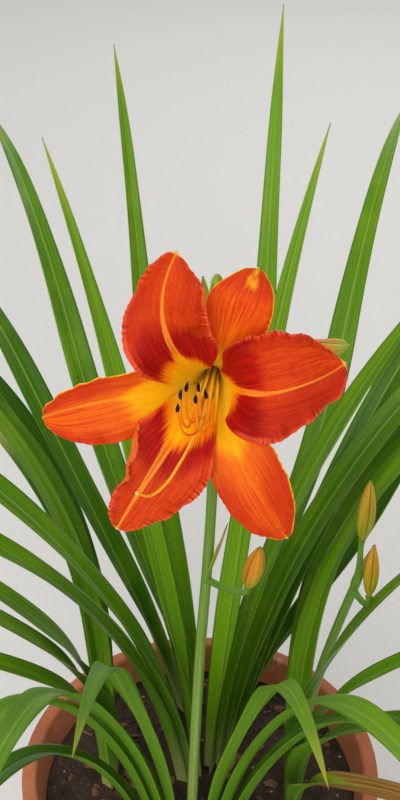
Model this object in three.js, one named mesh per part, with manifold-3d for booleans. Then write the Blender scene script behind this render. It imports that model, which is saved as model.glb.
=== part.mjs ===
// A daylily in a plain clay pot: fans of strap leaves, two scapes, one open bloom and seven buds.
// Millimetres, +Z up. The origin is the centre of the pot's underside, and the bloom faces -Y.

import * as THREE from "three";
import { mergeVertices } from "three/addons/utils/BufferGeometryUtils.js";
import Module from "manifold-3d";

const wasm = await Module();
wasm.setup();

// ---- Driving dimensions ----

const clearance = 0.3; // between pieces that stand on or in each other

const pot = {
  height: 190,
  footRadius: 80, // outside, on the floor
  shoulderRadius: 108, // outside, just below the rim band
  rimRadius: 117,
  rimHeight: 32,
  floor: 10,
  innerFootRadius: 72,
  innerRimRadius: 107,
  drainRadius: 7,
  drainCircle: 42, // radius of the circle that the three drain holes lie on
  edge: 3, // rounding of the rim band's edges
  sides: 36,
};

const soilLevel = 168; // height of the soil's rim, below the pot's rim
const soilMound = 4; // rise of the soil's middle over its rim
const soilRings = [92, 74, 56, 38, 19]; // radii of the circles that its top is drawn through
const crownFoot = 122; // height of the pits' floors
const crownHeight = 24;
const leafFoot = crownFoot + clearance + crownHeight + clearance; // leaves and scapes stand here
const pitHalfWidth = 9; // of the slot in the soil that a fan stands in
const pitEndRoom = 9; // from the outermost leaf to the slot's end
const outerRank = 3; // of the outermost leaves of a fan

const leafThickness = 0.7;
const keelThickness = 0.6; // what the midrib adds below a leaf
const rankSpacing = 4.6; // between the nested leaf bases of one side of a fan
const baseFold = 48; // degrees that each half of a leaf is folded up by at its foot
const openFold = 16; // and beyond its middle
const leafSteps = 13; // stretches that a leaf's length is split into

// Each fan: the middle of its crown, the direction of its plane in degrees, and the distance from the
// middle to the innermost leaves, which is wider where a scape stands between them.
const fans = [
  { x: -6, y: -48, plane: -5, inner: 9.5 },
  { x: -62, y: 14, plane: 97, inner: 6.5 },
  { x: 4, y: 64, plane: 172, inner: 6.5 },
  { x: 62, y: 0, plane: 85, inner: 9.5 },
  { x: 2, y: 8, plane: 20, inner: 6.5 },
];

// Each leaf: side of its fan, rank outwards from the middle, direction that it arches in, lean just above
// the foot, angle from upright at the tip, length, width, and roll at the tip.
const leaves = [
  [
    [1, 0, -84, 4, 76, 400, 19, 25],
    [-1, 0, 267, 3, 72, 400, 19, -20],
    [1, 1, -72, 7, 104, 450, 22, 15],
    [-1, 1, 262, 6, 108, 460, 22, -10],
    [1, 2, -67, 10, 120, 450, 22, 10],
    [-1, 2, 256, 8, 120, 460, 22, -10],
    [-1, 3, 248, 11, 136, 360, 19, 20],
  ],
  [
    [1, 0, 168, 4, 60, 460, 20, 15],
    [-1, 0, 184, 3, 98, 440, 20, -20],
    [1, 1, 156, 7, 100, 520, 23, 10],
    [-1, 1, 191, 5, 106, 470, 22, -10],
    [1, 2, 144, 11, 116, 520, 24, 10],
    [-1, 2, 197, 7, 120, 440, 22, -10],
    [1, 3, 132, 14, 130, 400, 20, 10],
  ],
  [
    [1, 0, 100, 3, 50, 500, 20, 15],
    [-1, 0, 84, 3, 44, 520, 21, -20],
    [1, 1, 112, 7, 92, 540, 24, 15],
    [-1, 1, 72, 7, 88, 540, 24, -10],
    [1, 2, 124, 11, 112, 520, 23, 10],
    [-1, 2, 63, 11, 110, 520, 23, -10],
    [-1, 3, 54, 14, 128, 420, 20, 20],
  ],
  [
    [1, 0, 2, 4, 70, 460, 20, 15],
    [-1, 0, -6, 4, 66, 430, 20, -20],
    [1, 1, 17, 7, 98, 500, 23, 15],
    [-1, 1, -18, 7, 104, 450, 22, -10],
    [1, 2, 31, 11, 116, 480, 23, 10],
    [-1, 2, -30, 11, 120, 440, 22, -10],
    [-1, 3, -42, 14, 134, 350, 19, 20],
  ],
  [
    [1, 0, 60, 2, 32, 470, 20, 25],
    [-1, 0, 130, 3, 30, 470, 20, -20],
    [1, 1, 12, 4, 50, 500, 22, 15],
    [-1, 1, 172, 5, 106, 540, 24, -10],
    [1, 2, 32, 5, 110, 550, 24, 15],
    [-1, 2, 188, 6, 116, 530, 23, -10],
    [1, 3, 48, 6, 100, 520, 23, 10],
  ],
];

// The bloom: where the middle of its mouth is, which way it faces, and the length of its tube.
const bloom = { x: 4, y: -101, z: 562, rise: 20, turn: -5, tube: 28 };
const tepalThickness = 0.8;
const tepalSink = 9; // how far down the tube's wall the tepals' blades start
const ruffleHeight = 1.5; // of the waves along the petals' edges
const ruffleSpread = 2.3; // length of a wave over two pi
const tubeWall = {
  floor: 1.4,
  boreRadius: 3,
  footRadius: 4.6,
  shoulderRadius: 5.9,
  mouthRadius: 8.5,
  mouthBoreRadius: 4.9,
  mouthDepth: 6.4, // below the middle of the bloom's mouth
  sides: 18,
};

// A tepal's shape is given at these shares of its length, from the tube's floor to its tip.
const tepalStations = [0, 0.22, 0.32, 0.44, 0.6, 0.78, 0.9, 1];

// Each tepal: direction at the throat and what it drifts by at the tip, length, then at the stations the
// angle of its midrib over the bloom's plane, its half widths on either side of the midrib and its roll.
const petalCup = [240, 165, 92, 38, 12, 0, -4, -6]; // cross curvature, per metre
const sepalCup = [170, 137, 85, 34, 12, 4, 4, 6];
const petals = [
  {
    azimuth: 135,
    drift: -33,
    length: 93.5,
    lift: [86, 80, 62, 48, 35, 5, -7, 8],
    left: [2.6, 4.2, 8.5, 12, 18.3, 15.3, 9.4, 2],
    right: [2.6, 4.2, 8.5, 16, 18, 19.3, 17.5, 2],
    roll: [0, 0, 0, 0, 7, -20, -19, 4],
  },
  {
    azimuth: 1,
    drift: 14.5,
    length: 90.6,
    lift: [86, 80, 62, 60, 19, -8.5, -15, -24],
    left: [2.6, 4.2, 8.5, 19.5, 26, 25.3, 19, 2],
    right: [2.6, 4.2, 8.5, 17, 21.5, 16, 12.5, 2],
    roll: [0, 0, 0, 0, 2.5, 11.5, 13, -8],
  },
  {
    azimuth: 235.5,
    drift: 3.3,
    length: 101,
    lift: [86, 80, 60, 43, 22.5, 11.5, -3, -20.5],
    left: [2.6, 4.2, 8.5, 15.5, 22.3, 19, 11.7, 2],
    right: [2.6, 4.2, 8.5, 12, 16.4, 9.2, 8.2, 2],
    roll: [0, 0, 0, 0, -2, -9, -5, -2.5],
  },
];
const sepals = [
  {
    azimuth: 69.4,
    drift: 1,
    length: 81.5,
    lift: [86, 80, 58, 38, 26.5, 9.5, -19.5, -52],
    left: [2.6, 3.6, 7, 11, 12, 15, 9.5, 1.5],
    right: [2.6, 3.6, 7, 11, 12.8, 13, 9.5, 1.5],
    roll: [0, 0, 0, 0, 0, -3, -4, -4.5],
  },
  {
    azimuth: 180.6,
    drift: 11,
    length: 101.4,
    lift: [86, 80, 58, 37.5, 16.5, -0.5, -18, -44],
    left: [2.6, 3.6, 7, 11, 17.4, 17, 11.6, 1.5],
    right: [2.6, 3.6, 7, 11, 10.4, 8.7, 4.8, 1.5],
    roll: [0, 0, 0, 0, 0, 4, 7.3, 7.7],
  },
  {
    azimuth: 298.6,
    drift: 2.2,
    length: 101,
    lift: [86, 80, 58, 37.7, 17, -1.4, -13.4, -19],
    left: [2.6, 3.6, 7, 11, 15.2, 14.2, 9.4, 1.5],
    right: [2.6, 3.6, 7, 11, 14.3, 14.2, 10, 1.5],
    roll: [0, 0, 0, 0, 0, 2.5, -0.8, -0.2],
  },
];
const petalFootRadius = 3.6; // of the midribs, at the tube's floor
const sepalFootRadius = 5;

// Stamens in the bloom's own frame: X across, Y up the face, Z out of the mouth. Each has the direction of
// its foot on a small circle, then the points that its filament runs through, then its anther's tip.
const stamenCircle = 2.2;
const filamentRadius = 0.55;
const antherRadius = 1.1;
const antherLength = 5.2;
const stamens = [
  {
    foot: 180,
    through: [[-3.6, -1, 0], [-5.4, -7.5, 11], [-6.6, -13.2, 22], [-8.6, -7, 33], [-8.2, 4.6, 42]],
    tip: [-7.7, 9.2, 44],
  },
  {
    foot: 120,
    through: [[-1.4, 0.8, 0], [-3.2, -5.6, 11], [-4.6, -11, 21.5], [-6.4, -5.5, 32], [-6.4, 7.2, 40]],
    tip: [-5.6, 12, 42],
  },
  {
    foot: 240,
    through: [[-3, -4.4, 0], [-3.4, -10.2, 11], [-3.4, -15.4, 22], [-7.4, -12.4, 34], [-9.4, -0.4, 44]],
    tip: [-9, 4.2, 47],
  },
  {
    foot: 60,
    through: [[1.4, 0.8, 0], [1.2, -5.6, 11], [1, -11.2, 20], [-1, -5, 30], [-1.4, 6.4, 36]],
    tip: [-1.4, 11.2, 38],
  },
  {
    foot: 300,
    through: [[2.9, -4.4, 0], [1.6, -10, 11], [0.4, -15.2, 21], [-1.8, -9, 33], [-2.4, 2.4, 40]],
    tip: [-2.2, 7.2, 42.5],
  },
  {
    foot: 0,
    through: [[3.6, -1, 0], [4, -7.6, 11], [3.6, -13.6, 19], [1.6, -7.6, 28], [1.2, 3.2, 34]],
    tip: [0.6, 7.8, 36],
  },
];
const pistil = {
  radius: 0.6,
  through: [
    [0, 0, -14],
    [-0.2, -3.6, -1],
    [-1, -8.4, 7],
    [-2.2, -14, 14],
    [-5, -19, 23],
    [-8.6, -25, 34],
    [-14, -33, 40],
    [-19.5, -36, 46],
    [-24, -33, 52],
  ],
};

// Scapes and buds, in the pot's frame.
const scapeRadius = 3.4; // at the foot
const scapeTaper = 0.8; // what the radius loses by the top
const forkRadius = 2; // where a fork leaves its scape
const stalkRadius = 2.4; // where the bloom's stalk leaves the scape
const budTipRadius = 0.35;
const bractThickness = 0.8;
const bractFootHalf = 0.9; // half width of a bract at its ends
const mainScape = [
  [-6, -48, leafFoot],
  [-6, -48, 170],
  [-4, -47, 240],
  [0, -46, 340],
  [5, -48, 430],
  [8, -53, 520],
];
const sideScape = [
  [62, 0, leafFoot],
  [62, 0, 170],
  [65, -2, 220],
  [76, -9, 300],
  [86, -17, 356],
  [89, -20, 372],
];
const buds = [
  { foot: [23, -54, 548], tip: [68, -60, 555], radius: 4.8 },
  { foot: [7.5, -41, 551], tip: [9.5, -25, 573], radius: 3.2 },
  { foot: [25, -42, 547], tip: [40, -46, 555], radius: 2.4 },
  { foot: [-2, -44, 546], tip: [-14, -36, 565], radius: 2.8 },
  { foot: [24, -82, 426], tip: [29, -93, 462], radius: 5 },
  { foot: [90, -17, 400], tip: [92.5, -12, 438], radius: 5 },
  { foot: [94, -34, 374], tip: [95, -28, 406], radius: 4.2 },
];

// Forks: each starts on a scape, runs through a point and ends at a bud's foot.
const mainForks = [
  { start: [8, -53, 519], through: [13, -54, 538], bud: 0 },
  { start: [7.8, -52, 514], through: [8, -46, 534], bud: 1 },
  { start: [7.9, -52.6, 517], through: [16, -46, 534], bud: 2 },
  { start: [7.6, -51.6, 511], through: [2, -47, 530], bud: 3 },
  { start: [3.5, -46.8, 398], through: [13, -64, 408], bud: 4 },
];
const sideForks = [
  { start: [88.6, -19.6, 370], through: [89.6, -19, 386], bud: 5 },
  { start: [87.4, -18.2, 363], through: [92, -29, 364], bud: 6 },
];

// Bracts: foot inside the scape, tip, and half width.
const mainBracts = [
  { foot: [8, -52, 520], tip: [2, -38, 573], width: 5 },
  { foot: [8, -51.6, 506], tip: [24, -44, 528], width: 4 },
  { foot: [3.5, -46.5, 397], tip: [16, -50, 440], width: 5 },
];
const sideBracts = [{ foot: [87, -17.6, 362], tip: [100, -12, 392], width: 4 }];

const colours = {
  clay: 0xb4653f,
  soil: 0x3a2c20,
  crown: 0x8f8a52,
  leaf: 0x4d7d1c,
  scape: 0x6f9430,
  petal: 0xdd4517,
  stamen: 0xf08a1c,
  pistil: 0xf5a328,
  bud: 0xa9a83a,
};

// ---- Helpers ----

const radians = THREE.MathUtils.degToRad;
const point = (p) => new THREE.Vector3(...p);

const smooth = (from, to, x) => {
  const t = THREE.MathUtils.clamp((x - from) / (to - from), 0, 1);
  return t * t * (3 - 2 * t);
};

// The value at x of a smooth curve through the given stations, a cubic Hermite with averaged slopes.
function curveValue(stations, values, x) {
  const last = stations.length - 1;
  const slope = (i) => (values[i + 1] - values[i]) / (stations[i + 1] - stations[i]);
  const tangent = (i) => {
    if (i === 0) return slope(0);
    if (i === last) return slope(last - 1);
    const before = stations[i] - stations[i - 1];
    const after = stations[i + 1] - stations[i];
    return (slope(i - 1) * after + slope(i) * before) / (before + after);
  };
  let k = 0;
  while (k < last - 1 && x > stations[k + 1]) k += 1;
  const span = stations[k + 1] - stations[k];
  const t = (x - stations[k]) / span;
  const rise = t * t * (3 - 2 * t);
  return (
    values[k] * (1 - rise) +
    values[k + 1] * rise +
    span * (tangent(k) * t * (1 - t) ** 2 - tangent(k + 1) * t * t * (1 - t))
  );
}

function geometryOf(vertices, triangles) {
  const made = new THREE.BufferGeometry();
  const numbers = vertices.flatMap((v) => [v.x, v.y, v.z]);
  made.setAttribute("position", new THREE.Float32BufferAttribute(numbers, 3));
  made.setIndex(triangles);
  return made;
}

// A closed sheet between two grids of points, whose rows run from foot to tip and whose columns run to the
// left as seen from above. Both faces are split along the same diagonals.
function sheet(lower, upper) {
  const rows = lower.length;
  const columns = lower[0].length;
  const at = (face, row, column) => (face * rows + row) * columns + column;
  const triangles = [];
  const quad = (a, b, c, d) => triangles.push(a, b, c, a, c, d);
  for (let r = 0; r < rows - 1; r += 1)
    for (let c = 0; c < columns - 1; c += 1) {
      quad(at(0, r, c), at(0, r, c + 1), at(0, r + 1, c + 1), at(0, r + 1, c));
      triangles.push(at(1, r, c), at(1, r + 1, c + 1), at(1, r, c + 1));
      triangles.push(at(1, r, c), at(1, r + 1, c), at(1, r + 1, c + 1));
    }
  for (let r = 0; r < rows - 1; r += 1) {
    quad(at(0, r, 0), at(0, r + 1, 0), at(1, r + 1, 0), at(1, r, 0));
    quad(at(0, r + 1, columns - 1), at(0, r, columns - 1), at(1, r, columns - 1), at(1, r + 1, columns - 1));
  }
  for (let c = 0; c < columns - 1; c += 1) {
    quad(at(0, 0, c + 1), at(0, 0, c), at(1, 0, c), at(1, 0, c + 1));
    quad(at(0, rows - 1, c), at(0, rows - 1, c + 1), at(1, rows - 1, c + 1), at(1, rows - 1, c));
  }
  return geometryOf([...lower.flat(), ...upper.flat()], triangles);
}

// A closed round bar along a smooth curve. radiusAt gives its radius from the share of the length and the
// direction round it.
function bar(points, radiusAt, sides, steps) {
  const curve = new THREE.CatmullRomCurve3(points.map(point));
  const frames = curve.computeFrenetFrames(steps);
  const vertices = [];
  for (let i = 0; i <= steps; i += 1) {
    const centre = curve.getPointAt(i / steps);
    for (let j = 0; j < sides; j += 1) {
      const angle = (2 * Math.PI * j) / sides;
      const radius = radiusAt(i / steps, angle);
      vertices.push(
        centre
          .clone()
          .addScaledVector(frames.normals[i], radius * Math.cos(angle))
          .addScaledVector(frames.binormals[i], radius * Math.sin(angle)),
      );
    }
  }
  const triangles = [];
  for (let i = 0; i < steps; i += 1)
    for (let j = 0; j < sides; j += 1) {
      const a = i * sides + j;
      const b = i * sides + ((j + 1) % sides);
      triangles.push(a, b, b + sides, a, b + sides, a + sides);
    }
  for (let j = 1; j < sides - 1; j += 1) {
    triangles.push(0, j + 1, j);
    const end = steps * sides;
    triangles.push(end, end + j, end + j + 1);
  }
  return geometryOf(vertices, triangles);
}

function solidOf(geometry) {
  const bare = geometry.clone();
  bare.deleteAttribute("normal");
  bare.deleteAttribute("uv");
  const merged = mergeVertices(bare, 1e-4);
  return new wasm.Manifold(
    new wasm.Mesh({
      numProp: 3,
      vertProperties: new Float32Array(merged.attributes.position.array),
      triVerts: new Uint32Array(merged.index.array),
    }),
  );
}

function geometryOfSolid(solid) {
  const mesh = solid.getMesh();
  const made = new THREE.BufferGeometry();
  made.setAttribute("position", new THREE.BufferAttribute(mesh.vertProperties, 3));
  made.setIndex(new THREE.BufferAttribute(mesh.triVerts, 1));
  return made;
}

const joined = (geometries) =>
  geometryOfSolid(geometries.map(solidOf).reduce((whole, next) => whole.add(next)));

function piece(parent, name, geometry, colour, roughness) {
  geometry.computeVertexNormals();
  const mesh = new THREE.Mesh(
    geometry,
    new THREE.MeshStandardMaterial({ color: colour, roughness, metalness: 0 }),
  );
  mesh.name = name;
  parent.add(mesh);
}

// A solid of revolution round Z from its outline as [radius, height] pairs, from the foot up.
function turned(outline, sides) {
  return new THREE.LatheGeometry(
    outline.map(([radius, height]) => new THREE.Vector2(radius, height)),
    sides,
  ).rotateX(Math.PI / 2);
}

// ---- Pot and soil ----

const innerRadius = (z) =>
  pot.innerFootRadius +
  ((pot.innerRimRadius - pot.innerFootRadius) * (z - pot.floor)) / (pot.height - pot.floor);

function potGeometry() {
  const shoulder = pot.height - pot.rimHeight;
  const body = turned(
    [
      [0, 0],
      [pot.footRadius, 0],
      [pot.footRadius + pot.edge / 2, pot.edge / 2],
      [pot.shoulderRadius, shoulder],
      [pot.rimRadius - pot.edge, shoulder],
      [pot.rimRadius, shoulder + pot.edge],
      [pot.rimRadius, pot.height - pot.edge],
      [pot.rimRadius - pot.edge, pot.height],
      [pot.innerRimRadius + pot.edge, pot.height],
      [innerRadius(pot.height - pot.edge), pot.height - pot.edge],
      [pot.innerFootRadius, pot.floor],
      [0, pot.floor],
    ],
    pot.sides,
  );
  let solid = solidOf(body);
  for (let i = 0; i < 3; i += 1) {
    const angle = (2 * Math.PI * i) / 3 + Math.PI / 2;
    const drain = new THREE.CylinderGeometry(pot.drainRadius, pot.drainRadius, 3 * pot.floor, 16);
    drain.rotateX(Math.PI / 2);
    drain.translate(pot.drainCircle * Math.cos(angle), pot.drainCircle * Math.sin(angle), pot.floor / 2);
    solid = solid.subtract(solidOf(drain));
  }
  return geometryOfSolid(solid);
}

// A slot with round ends along the fan's plane, from z up by height.
function slot(fan, halfLength, halfWidth, z, height) {
  const outline = new THREE.Shape();
  const straight = halfLength - halfWidth;
  outline.absarc(straight, 0, halfWidth, -Math.PI / 2, Math.PI / 2);
  outline.absarc(-straight, 0, halfWidth, Math.PI / 2, (3 * Math.PI) / 2);
  const made = new THREE.ExtrudeGeometry(outline, { depth: height, bevelEnabled: false, curveSegments: 5 });
  made.rotateZ(radians(fan.plane));
  made.translate(fan.x, fan.y, z);
  return made;
}

const pitHalfLength = (fan) => fan.inner + rankSpacing * outerRank + pitEndRoom;

// The gentle lumps of the soil's top.
const soilRelief = (x, y) =>
  1.3 * Math.sin(x / 13 + 1) * Math.cos(y / 11) + 0.8 * Math.sin((x - y) / 7 + 2);

function soilGeometry() {
  const top = soilRings.map((radius) => [
    radius,
    soilLevel + soilMound * (1 - (radius / innerRadius(soilLevel)) ** 2),
  ]);
  const body = turned(
    [
      [0, pot.floor + clearance],
      [innerRadius(pot.floor) - clearance, pot.floor + clearance],
      [innerRadius(soilLevel) - 2 * clearance, soilLevel],
      ...top,
      [0, soilLevel + soilMound],
    ],
    pot.sides,
  );
  const position = body.attributes.position;
  for (let i = 0; i < position.count; i += 1) {
    const [x, y, z] = [position.getX(i), position.getY(i), position.getZ(i)];
    const inside = THREE.MathUtils.clamp((innerRadius(soilLevel) - Math.hypot(x, y)) / 20, 0, 1);
    if (z >= soilLevel) position.setZ(i, z + inside * soilRelief(x, y));
  }
  let solid = solidOf(body);
  for (const fan of fans) {
    const pit = slot(fan, pitHalfLength(fan), pitHalfWidth, crownFoot, pot.height);
    solid = solid.subtract(solidOf(pit));
  }
  return geometryOfSolid(solid);
}

// ---- Leaves ----

// Half width at the share s of the length, as a share of the widest.
const leafTaper = (s) => (0.7 + 0.3 * smooth(0, 0.3, s)) * (1 - s ** 2.2) ** 0.8;

// A leaf turns from its fan's plane to its own direction, and leans further out all the way to its tip.
function leafGeometry(fan, [side, rank, direction, lean, arch, length, width, roll]) {
  const plane = radians(fan.plane + (side < 0 ? 180 : 0));
  const turn = Math.atan2(Math.sin(radians(direction) - plane), Math.cos(radians(direction) - plane));
  const distance = fan.inner + rankSpacing * rank;
  const centre = new THREE.Vector3(
    fan.x + distance * Math.cos(plane),
    fan.y + distance * Math.sin(plane),
    leafFoot,
  );
  const upperRows = [];
  const lowerRows = [];
  for (let i = 0; i <= leafSteps; i += 1) {
    const s = i / leafSteps;
    const heading = plane + turn * smooth(0.05, 0.65, s);
    const tilt = radians(lean * smooth(0, 0.08, s) + (arch - lean) * s ** 1.7);
    const outward = new THREE.Vector3(Math.cos(heading), Math.sin(heading), 0);
    const along = outward.clone().multiplyScalar(Math.sin(tilt)).setZ(Math.cos(tilt));
    const across = new THREE.Vector3(-Math.sin(heading), Math.cos(heading), 0);
    across.applyAxisAngle(along, radians(roll) * s * s);
    const upper = along.clone().cross(across);
    if (i > 0) centre.addScaledVector(along, length / leafSteps);
    const fold = radians(THREE.MathUtils.lerp(baseFold, openFold, smooth(0, 0.55, s)));
    const half = Math.max(0.8, (width / 2) * leafTaper(s));
    const offset = leafThickness / 2 / Math.cos(fold);
    const row = (lift, keel) =>
      [-1, 0, 1].map((u) =>
        centre
          .clone()
          .addScaledVector(across, u * half * Math.cos(fold))
          .addScaledVector(upper, Math.abs(u) * half * Math.sin(fold) + lift - (u === 0 ? keel : 0)),
      );
    upperRows.push(row(offset, 0));
    lowerRows.push(row(-offset, keelThickness * (1 - 0.7 * s)));
  }
  return sheet(lowerRows, upperRows);
}

// ---- Bloom ----

// The points of a tepal's middle surface, and its normals, on a grid from the tube to the tip.
function tepalGrid(tepal, footRadius, cup, firstShare, rows, columns, ruffle) {
  const fine = 240;
  const tube = bloom.tube;
  const lift = (s) => radians(curveValue(tepalStations, tepal.lift, s));
  const stations = [];
  let radius = footRadius;
  let height = -tube;
  for (let i = 0; i <= fine; i += 1) {
    const s = i / fine;
    if (i > 0) {
      const middle = lift((i - 0.5) / fine);
      radius += (Math.cos(middle) * tepal.length) / fine;
      height += (Math.sin(middle) * tepal.length) / fine;
    }
    stations.push([radius, height]);
  }
  const midrib = (s) => {
    const [r, h] = stations[Math.round(s * fine)];
    const beyond = Math.max(0, (s * tepal.length - tube) / (tepal.length - tube));
    const azimuth = radians(tepal.azimuth + tepal.drift * beyond ** 1.5);
    return new THREE.Vector3(r * Math.cos(azimuth), r * Math.sin(azimuth), h);
  };
  const points = [];
  const normals = [];
  for (let i = 0; i <= rows; i += 1) {
    const s = Math.round((firstShare + ((1 - firstShare) * i) / rows) * fine) / fine;
    const centre = midrib(s);
    const step = 2 / fine;
    const along = midrib(Math.min(1, s + step)).sub(midrib(Math.min(1, s + step) - 2 * step)).normalize();
    const azimuth = Math.atan2(centre.y, centre.x);
    const across = new THREE.Vector3(-Math.sin(azimuth), Math.cos(azimuth), 0);
    across.addScaledVector(along, -across.dot(along)).normalize();
    const normal = along.clone().cross(across);
    const roll = radians(curveValue(tepalStations, tepal.roll, s));
    across.applyAxisAngle(along, roll);
    normal.applyAxisAngle(along, roll);
    const bend = curveValue(tepalStations, cup, s) / 1000 || 1e-6;
    const pointRow = [];
    const normalRow = [];
    for (let j = 0; j <= columns; j += 1) {
      const t = (2 * j) / columns - 1;
      const half = Math.max(1, curveValue(tepalStations, t > 0 ? tepal.left : tepal.right, s));
      const u = t * half;
      const wave =
        ruffle *
        Math.abs(t) ** 3 *
        smooth(0.4, 0.6, s) *
        (1 - smooth(0.92, 1, s)) *
        Math.sin((s * tepal.length) / ruffleSpread + (t > 0 ? 0 : 1.7) + tepal.azimuth);
      const swing = bend * u;
      const surfaceNormal = normal
        .clone()
        .multiplyScalar(Math.cos(swing))
        .addScaledVector(across, -Math.sin(swing));
      pointRow.push(
        centre
          .clone()
          .addScaledVector(across, Math.sin(swing) / bend)
          .addScaledVector(normal, (1 - Math.cos(swing)) / bend)
          .addScaledVector(surfaceNormal, wave),
      );
      normalRow.push(surfaceNormal);
    }
    points.push(pointRow);
    normals.push(normalRow);
  }
  return { points, normals };
}

function tepalGeometry(tepal, footRadius, cup, rows, columns, ruffle) {
  const firstShare = (bloom.tube - tepalSink) / tepal.length;
  const { points, normals } = tepalGrid(tepal, footRadius, cup, firstShare, rows, columns, ruffle);
  const shifted = (sign) =>
    points.map((row, i) =>
      row.map((p, j) => p.clone().addScaledVector(normals[i][j], (sign * tepalThickness) / 2)),
    );
  return sheet(shifted(-1), shifted(1));
}

// The tube that the six tepals grow together into, closed at its foot.
function tubeGeometry() {
  const foot = -bloom.tube;
  return turned(
    [
      [0, foot - tubeWall.floor],
      [tubeWall.footRadius, foot - tubeWall.floor],
      [tubeWall.shoulderRadius, foot],
      [tubeWall.mouthRadius, -tubeWall.mouthDepth],
      [tubeWall.mouthBoreRadius, -tubeWall.mouthDepth],
      [tubeWall.boreRadius, foot + 0.8],
      [tubeWall.boreRadius, foot],
      [0, foot],
    ],
    tubeWall.sides,
  );
}

// The three petals, the three sepals and the tube are one grown piece.
const perianthGeometry = () =>
  joined([
    tubeGeometry(),
    ...petals.map((petal) => tepalGeometry(petal, petalFootRadius, petalCup, 22, 8, ruffleHeight)),
    ...sepals.map((sepal) => tepalGeometry(sepal, sepalFootRadius, sepalCup, 15, 6, 0)),
  ]);

// A filament that ends in its anther.
function stamenGeometry({ foot, through, tip }) {
  const angle = radians(foot);
  const start = [stamenCircle * Math.cos(angle), stamenCircle * Math.sin(angle)];
  const points = [
    [...start, clearance - bloom.tube],
    [start[0] * 1.1, start[1] * 1.1, -12],
    ...through,
    tip,
  ];
  const reach = new THREE.CatmullRomCurve3(points.map(point)).getLength();
  const antherStart = 1 - antherLength / reach;
  return bar(
    points,
    (s) => {
      if (s < antherStart) return filamentRadius;
      const t = (s - antherStart) / (1 - antherStart);
      return 0.4 + (antherRadius - 0.4) * Math.sin(Math.PI * t) ** 0.6;
    },
    6,
    18,
  );
}

// The style stands on the tube's floor and ends in a small knob, the stigma.
function pistilGeometry() {
  const points = [[0, 0, clearance - bloom.tube], ...pistil.through];
  return bar(points, (s) => (s > 0.98 ? 1 : pistil.radius), 6, 20);
}

// ---- Scapes and buds ----

// A bud's radius at the share s of its length: a spindle with three soft ridges.
const budLobes = (s, angle, radius) =>
  (budTipRadius + (radius - budTipRadius) * Math.sin(Math.PI * s ** 0.8) ** 0.75) *
  (1 + 0.06 * Math.cos(3 * angle));

function budGeometry({ foot, tip, radius }) {
  const start = point(foot);
  const end = point(tip);
  const sag = 0.04 * start.distanceTo(end);
  const middle = start.clone().lerp(end, 0.5).add(new THREE.Vector3(0, 0, -sag));
  const path = [start, middle, end].map((p) => p.toArray());
  return bar(path, (s, angle) => budLobes(s, angle, radius), 9, 9);
}

// A fork ends just short of its bud's foot, on the bud's own line.
function forkGeometry({ start, through, bud }) {
  const foot = point(buds[bud].foot);
  const back = foot.clone().sub(point(buds[bud].tip)).normalize();
  const end = foot.clone().addScaledVector(back, clearance);
  const before = foot.clone().addScaledVector(back, 6);
  return bar([start, through, before.toArray(), end.toArray()], (s) => forkRadius - 0.5 * s, 6, 6);
}

// A small boat-shaped leaf, thin at its edges.
function bractGeometry({ foot, tip, width }) {
  const start = point(foot);
  const end = point(tip);
  const along = end.clone().sub(start).normalize();
  const across = new THREE.Vector3(0, 0, 1).cross(along).normalize();
  const upper = along.clone().cross(across);
  const upperRows = [];
  const lowerRows = [];
  const steps = 6;
  for (let i = 0; i <= steps; i += 1) {
    const s = i / steps;
    const half = bractFootHalf + (width - bractFootHalf) * Math.sin(Math.PI * s ** 0.6) ** 0.8;
    const row = (lift) =>
      [-1, 0, 1].map((u) =>
        start
          .clone()
          .lerp(end, s)
          .addScaledVector(across, u * half)
          .addScaledVector(upper, lift + 0.25 * half * Math.abs(u)),
      );
    upperRows.push(row(bractThickness / 2));
    lowerRows.push(row(-bractThickness / 2));
  }
  return sheet(lowerRows, upperRows);
}

// A scape is one piece with its forks, its bracts and any further stalk.
function scapeGeometry(path, forks, bracts, extra) {
  return joined([
    bar(path, (s) => scapeRadius - scapeTaper * s, 8, 12),
    ...extra,
    ...forks.map(forkGeometry),
    ...bracts.map(bractGeometry),
  ]);
}

// ---- Assembly ----

const daylily = new THREE.Group();
piece(daylily, "pot", potGeometry(), colours.clay, 0.85);
piece(daylily, "soil", soilGeometry(), colours.soil, 1);

fans.forEach((fan, i) => {
  const crown = slot(
    fan,
    pitHalfLength(fan) - clearance,
    pitHalfWidth - clearance,
    crownFoot + clearance,
    crownHeight,
  );
  piece(daylily, `crown_${i + 1}`, crown, colours.crown, 0.8);
  leaves[i].forEach((leaf, j) => {
    piece(daylily, `leaf_${i + 1}_${j + 1}`, leafGeometry(fan, leaf), colours.leaf, 0.45);
  });
});

// The bloom's own frame, at the middle of its mouth.
const facing = new THREE.Vector3(
  Math.sin(radians(bloom.turn)) * Math.cos(radians(bloom.rise)),
  -Math.cos(radians(bloom.turn)) * Math.cos(radians(bloom.rise)),
  Math.sin(radians(bloom.rise)),
);
const acrossFace = new THREE.Vector3(Math.cos(radians(bloom.turn)), Math.sin(radians(bloom.turn)), 0);
const bloomGroup = new THREE.Group();
bloomGroup.applyMatrix4(
  new THREE.Matrix4()
    .makeBasis(acrossFace, facing.clone().cross(acrossFace), facing)
    .setPosition(bloom.x, bloom.y, bloom.z),
);
daylily.add(bloomGroup);
piece(bloomGroup, "perianth", perianthGeometry(), colours.petal, 0.5);
stamens.forEach((stamen, i) => {
  piece(bloomGroup, `stamen_${i + 1}`, stamenGeometry(stamen), colours.stamen, 0.5);
});
piece(bloomGroup, "pistil", pistilGeometry(), colours.pistil, 0.5);

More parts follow.
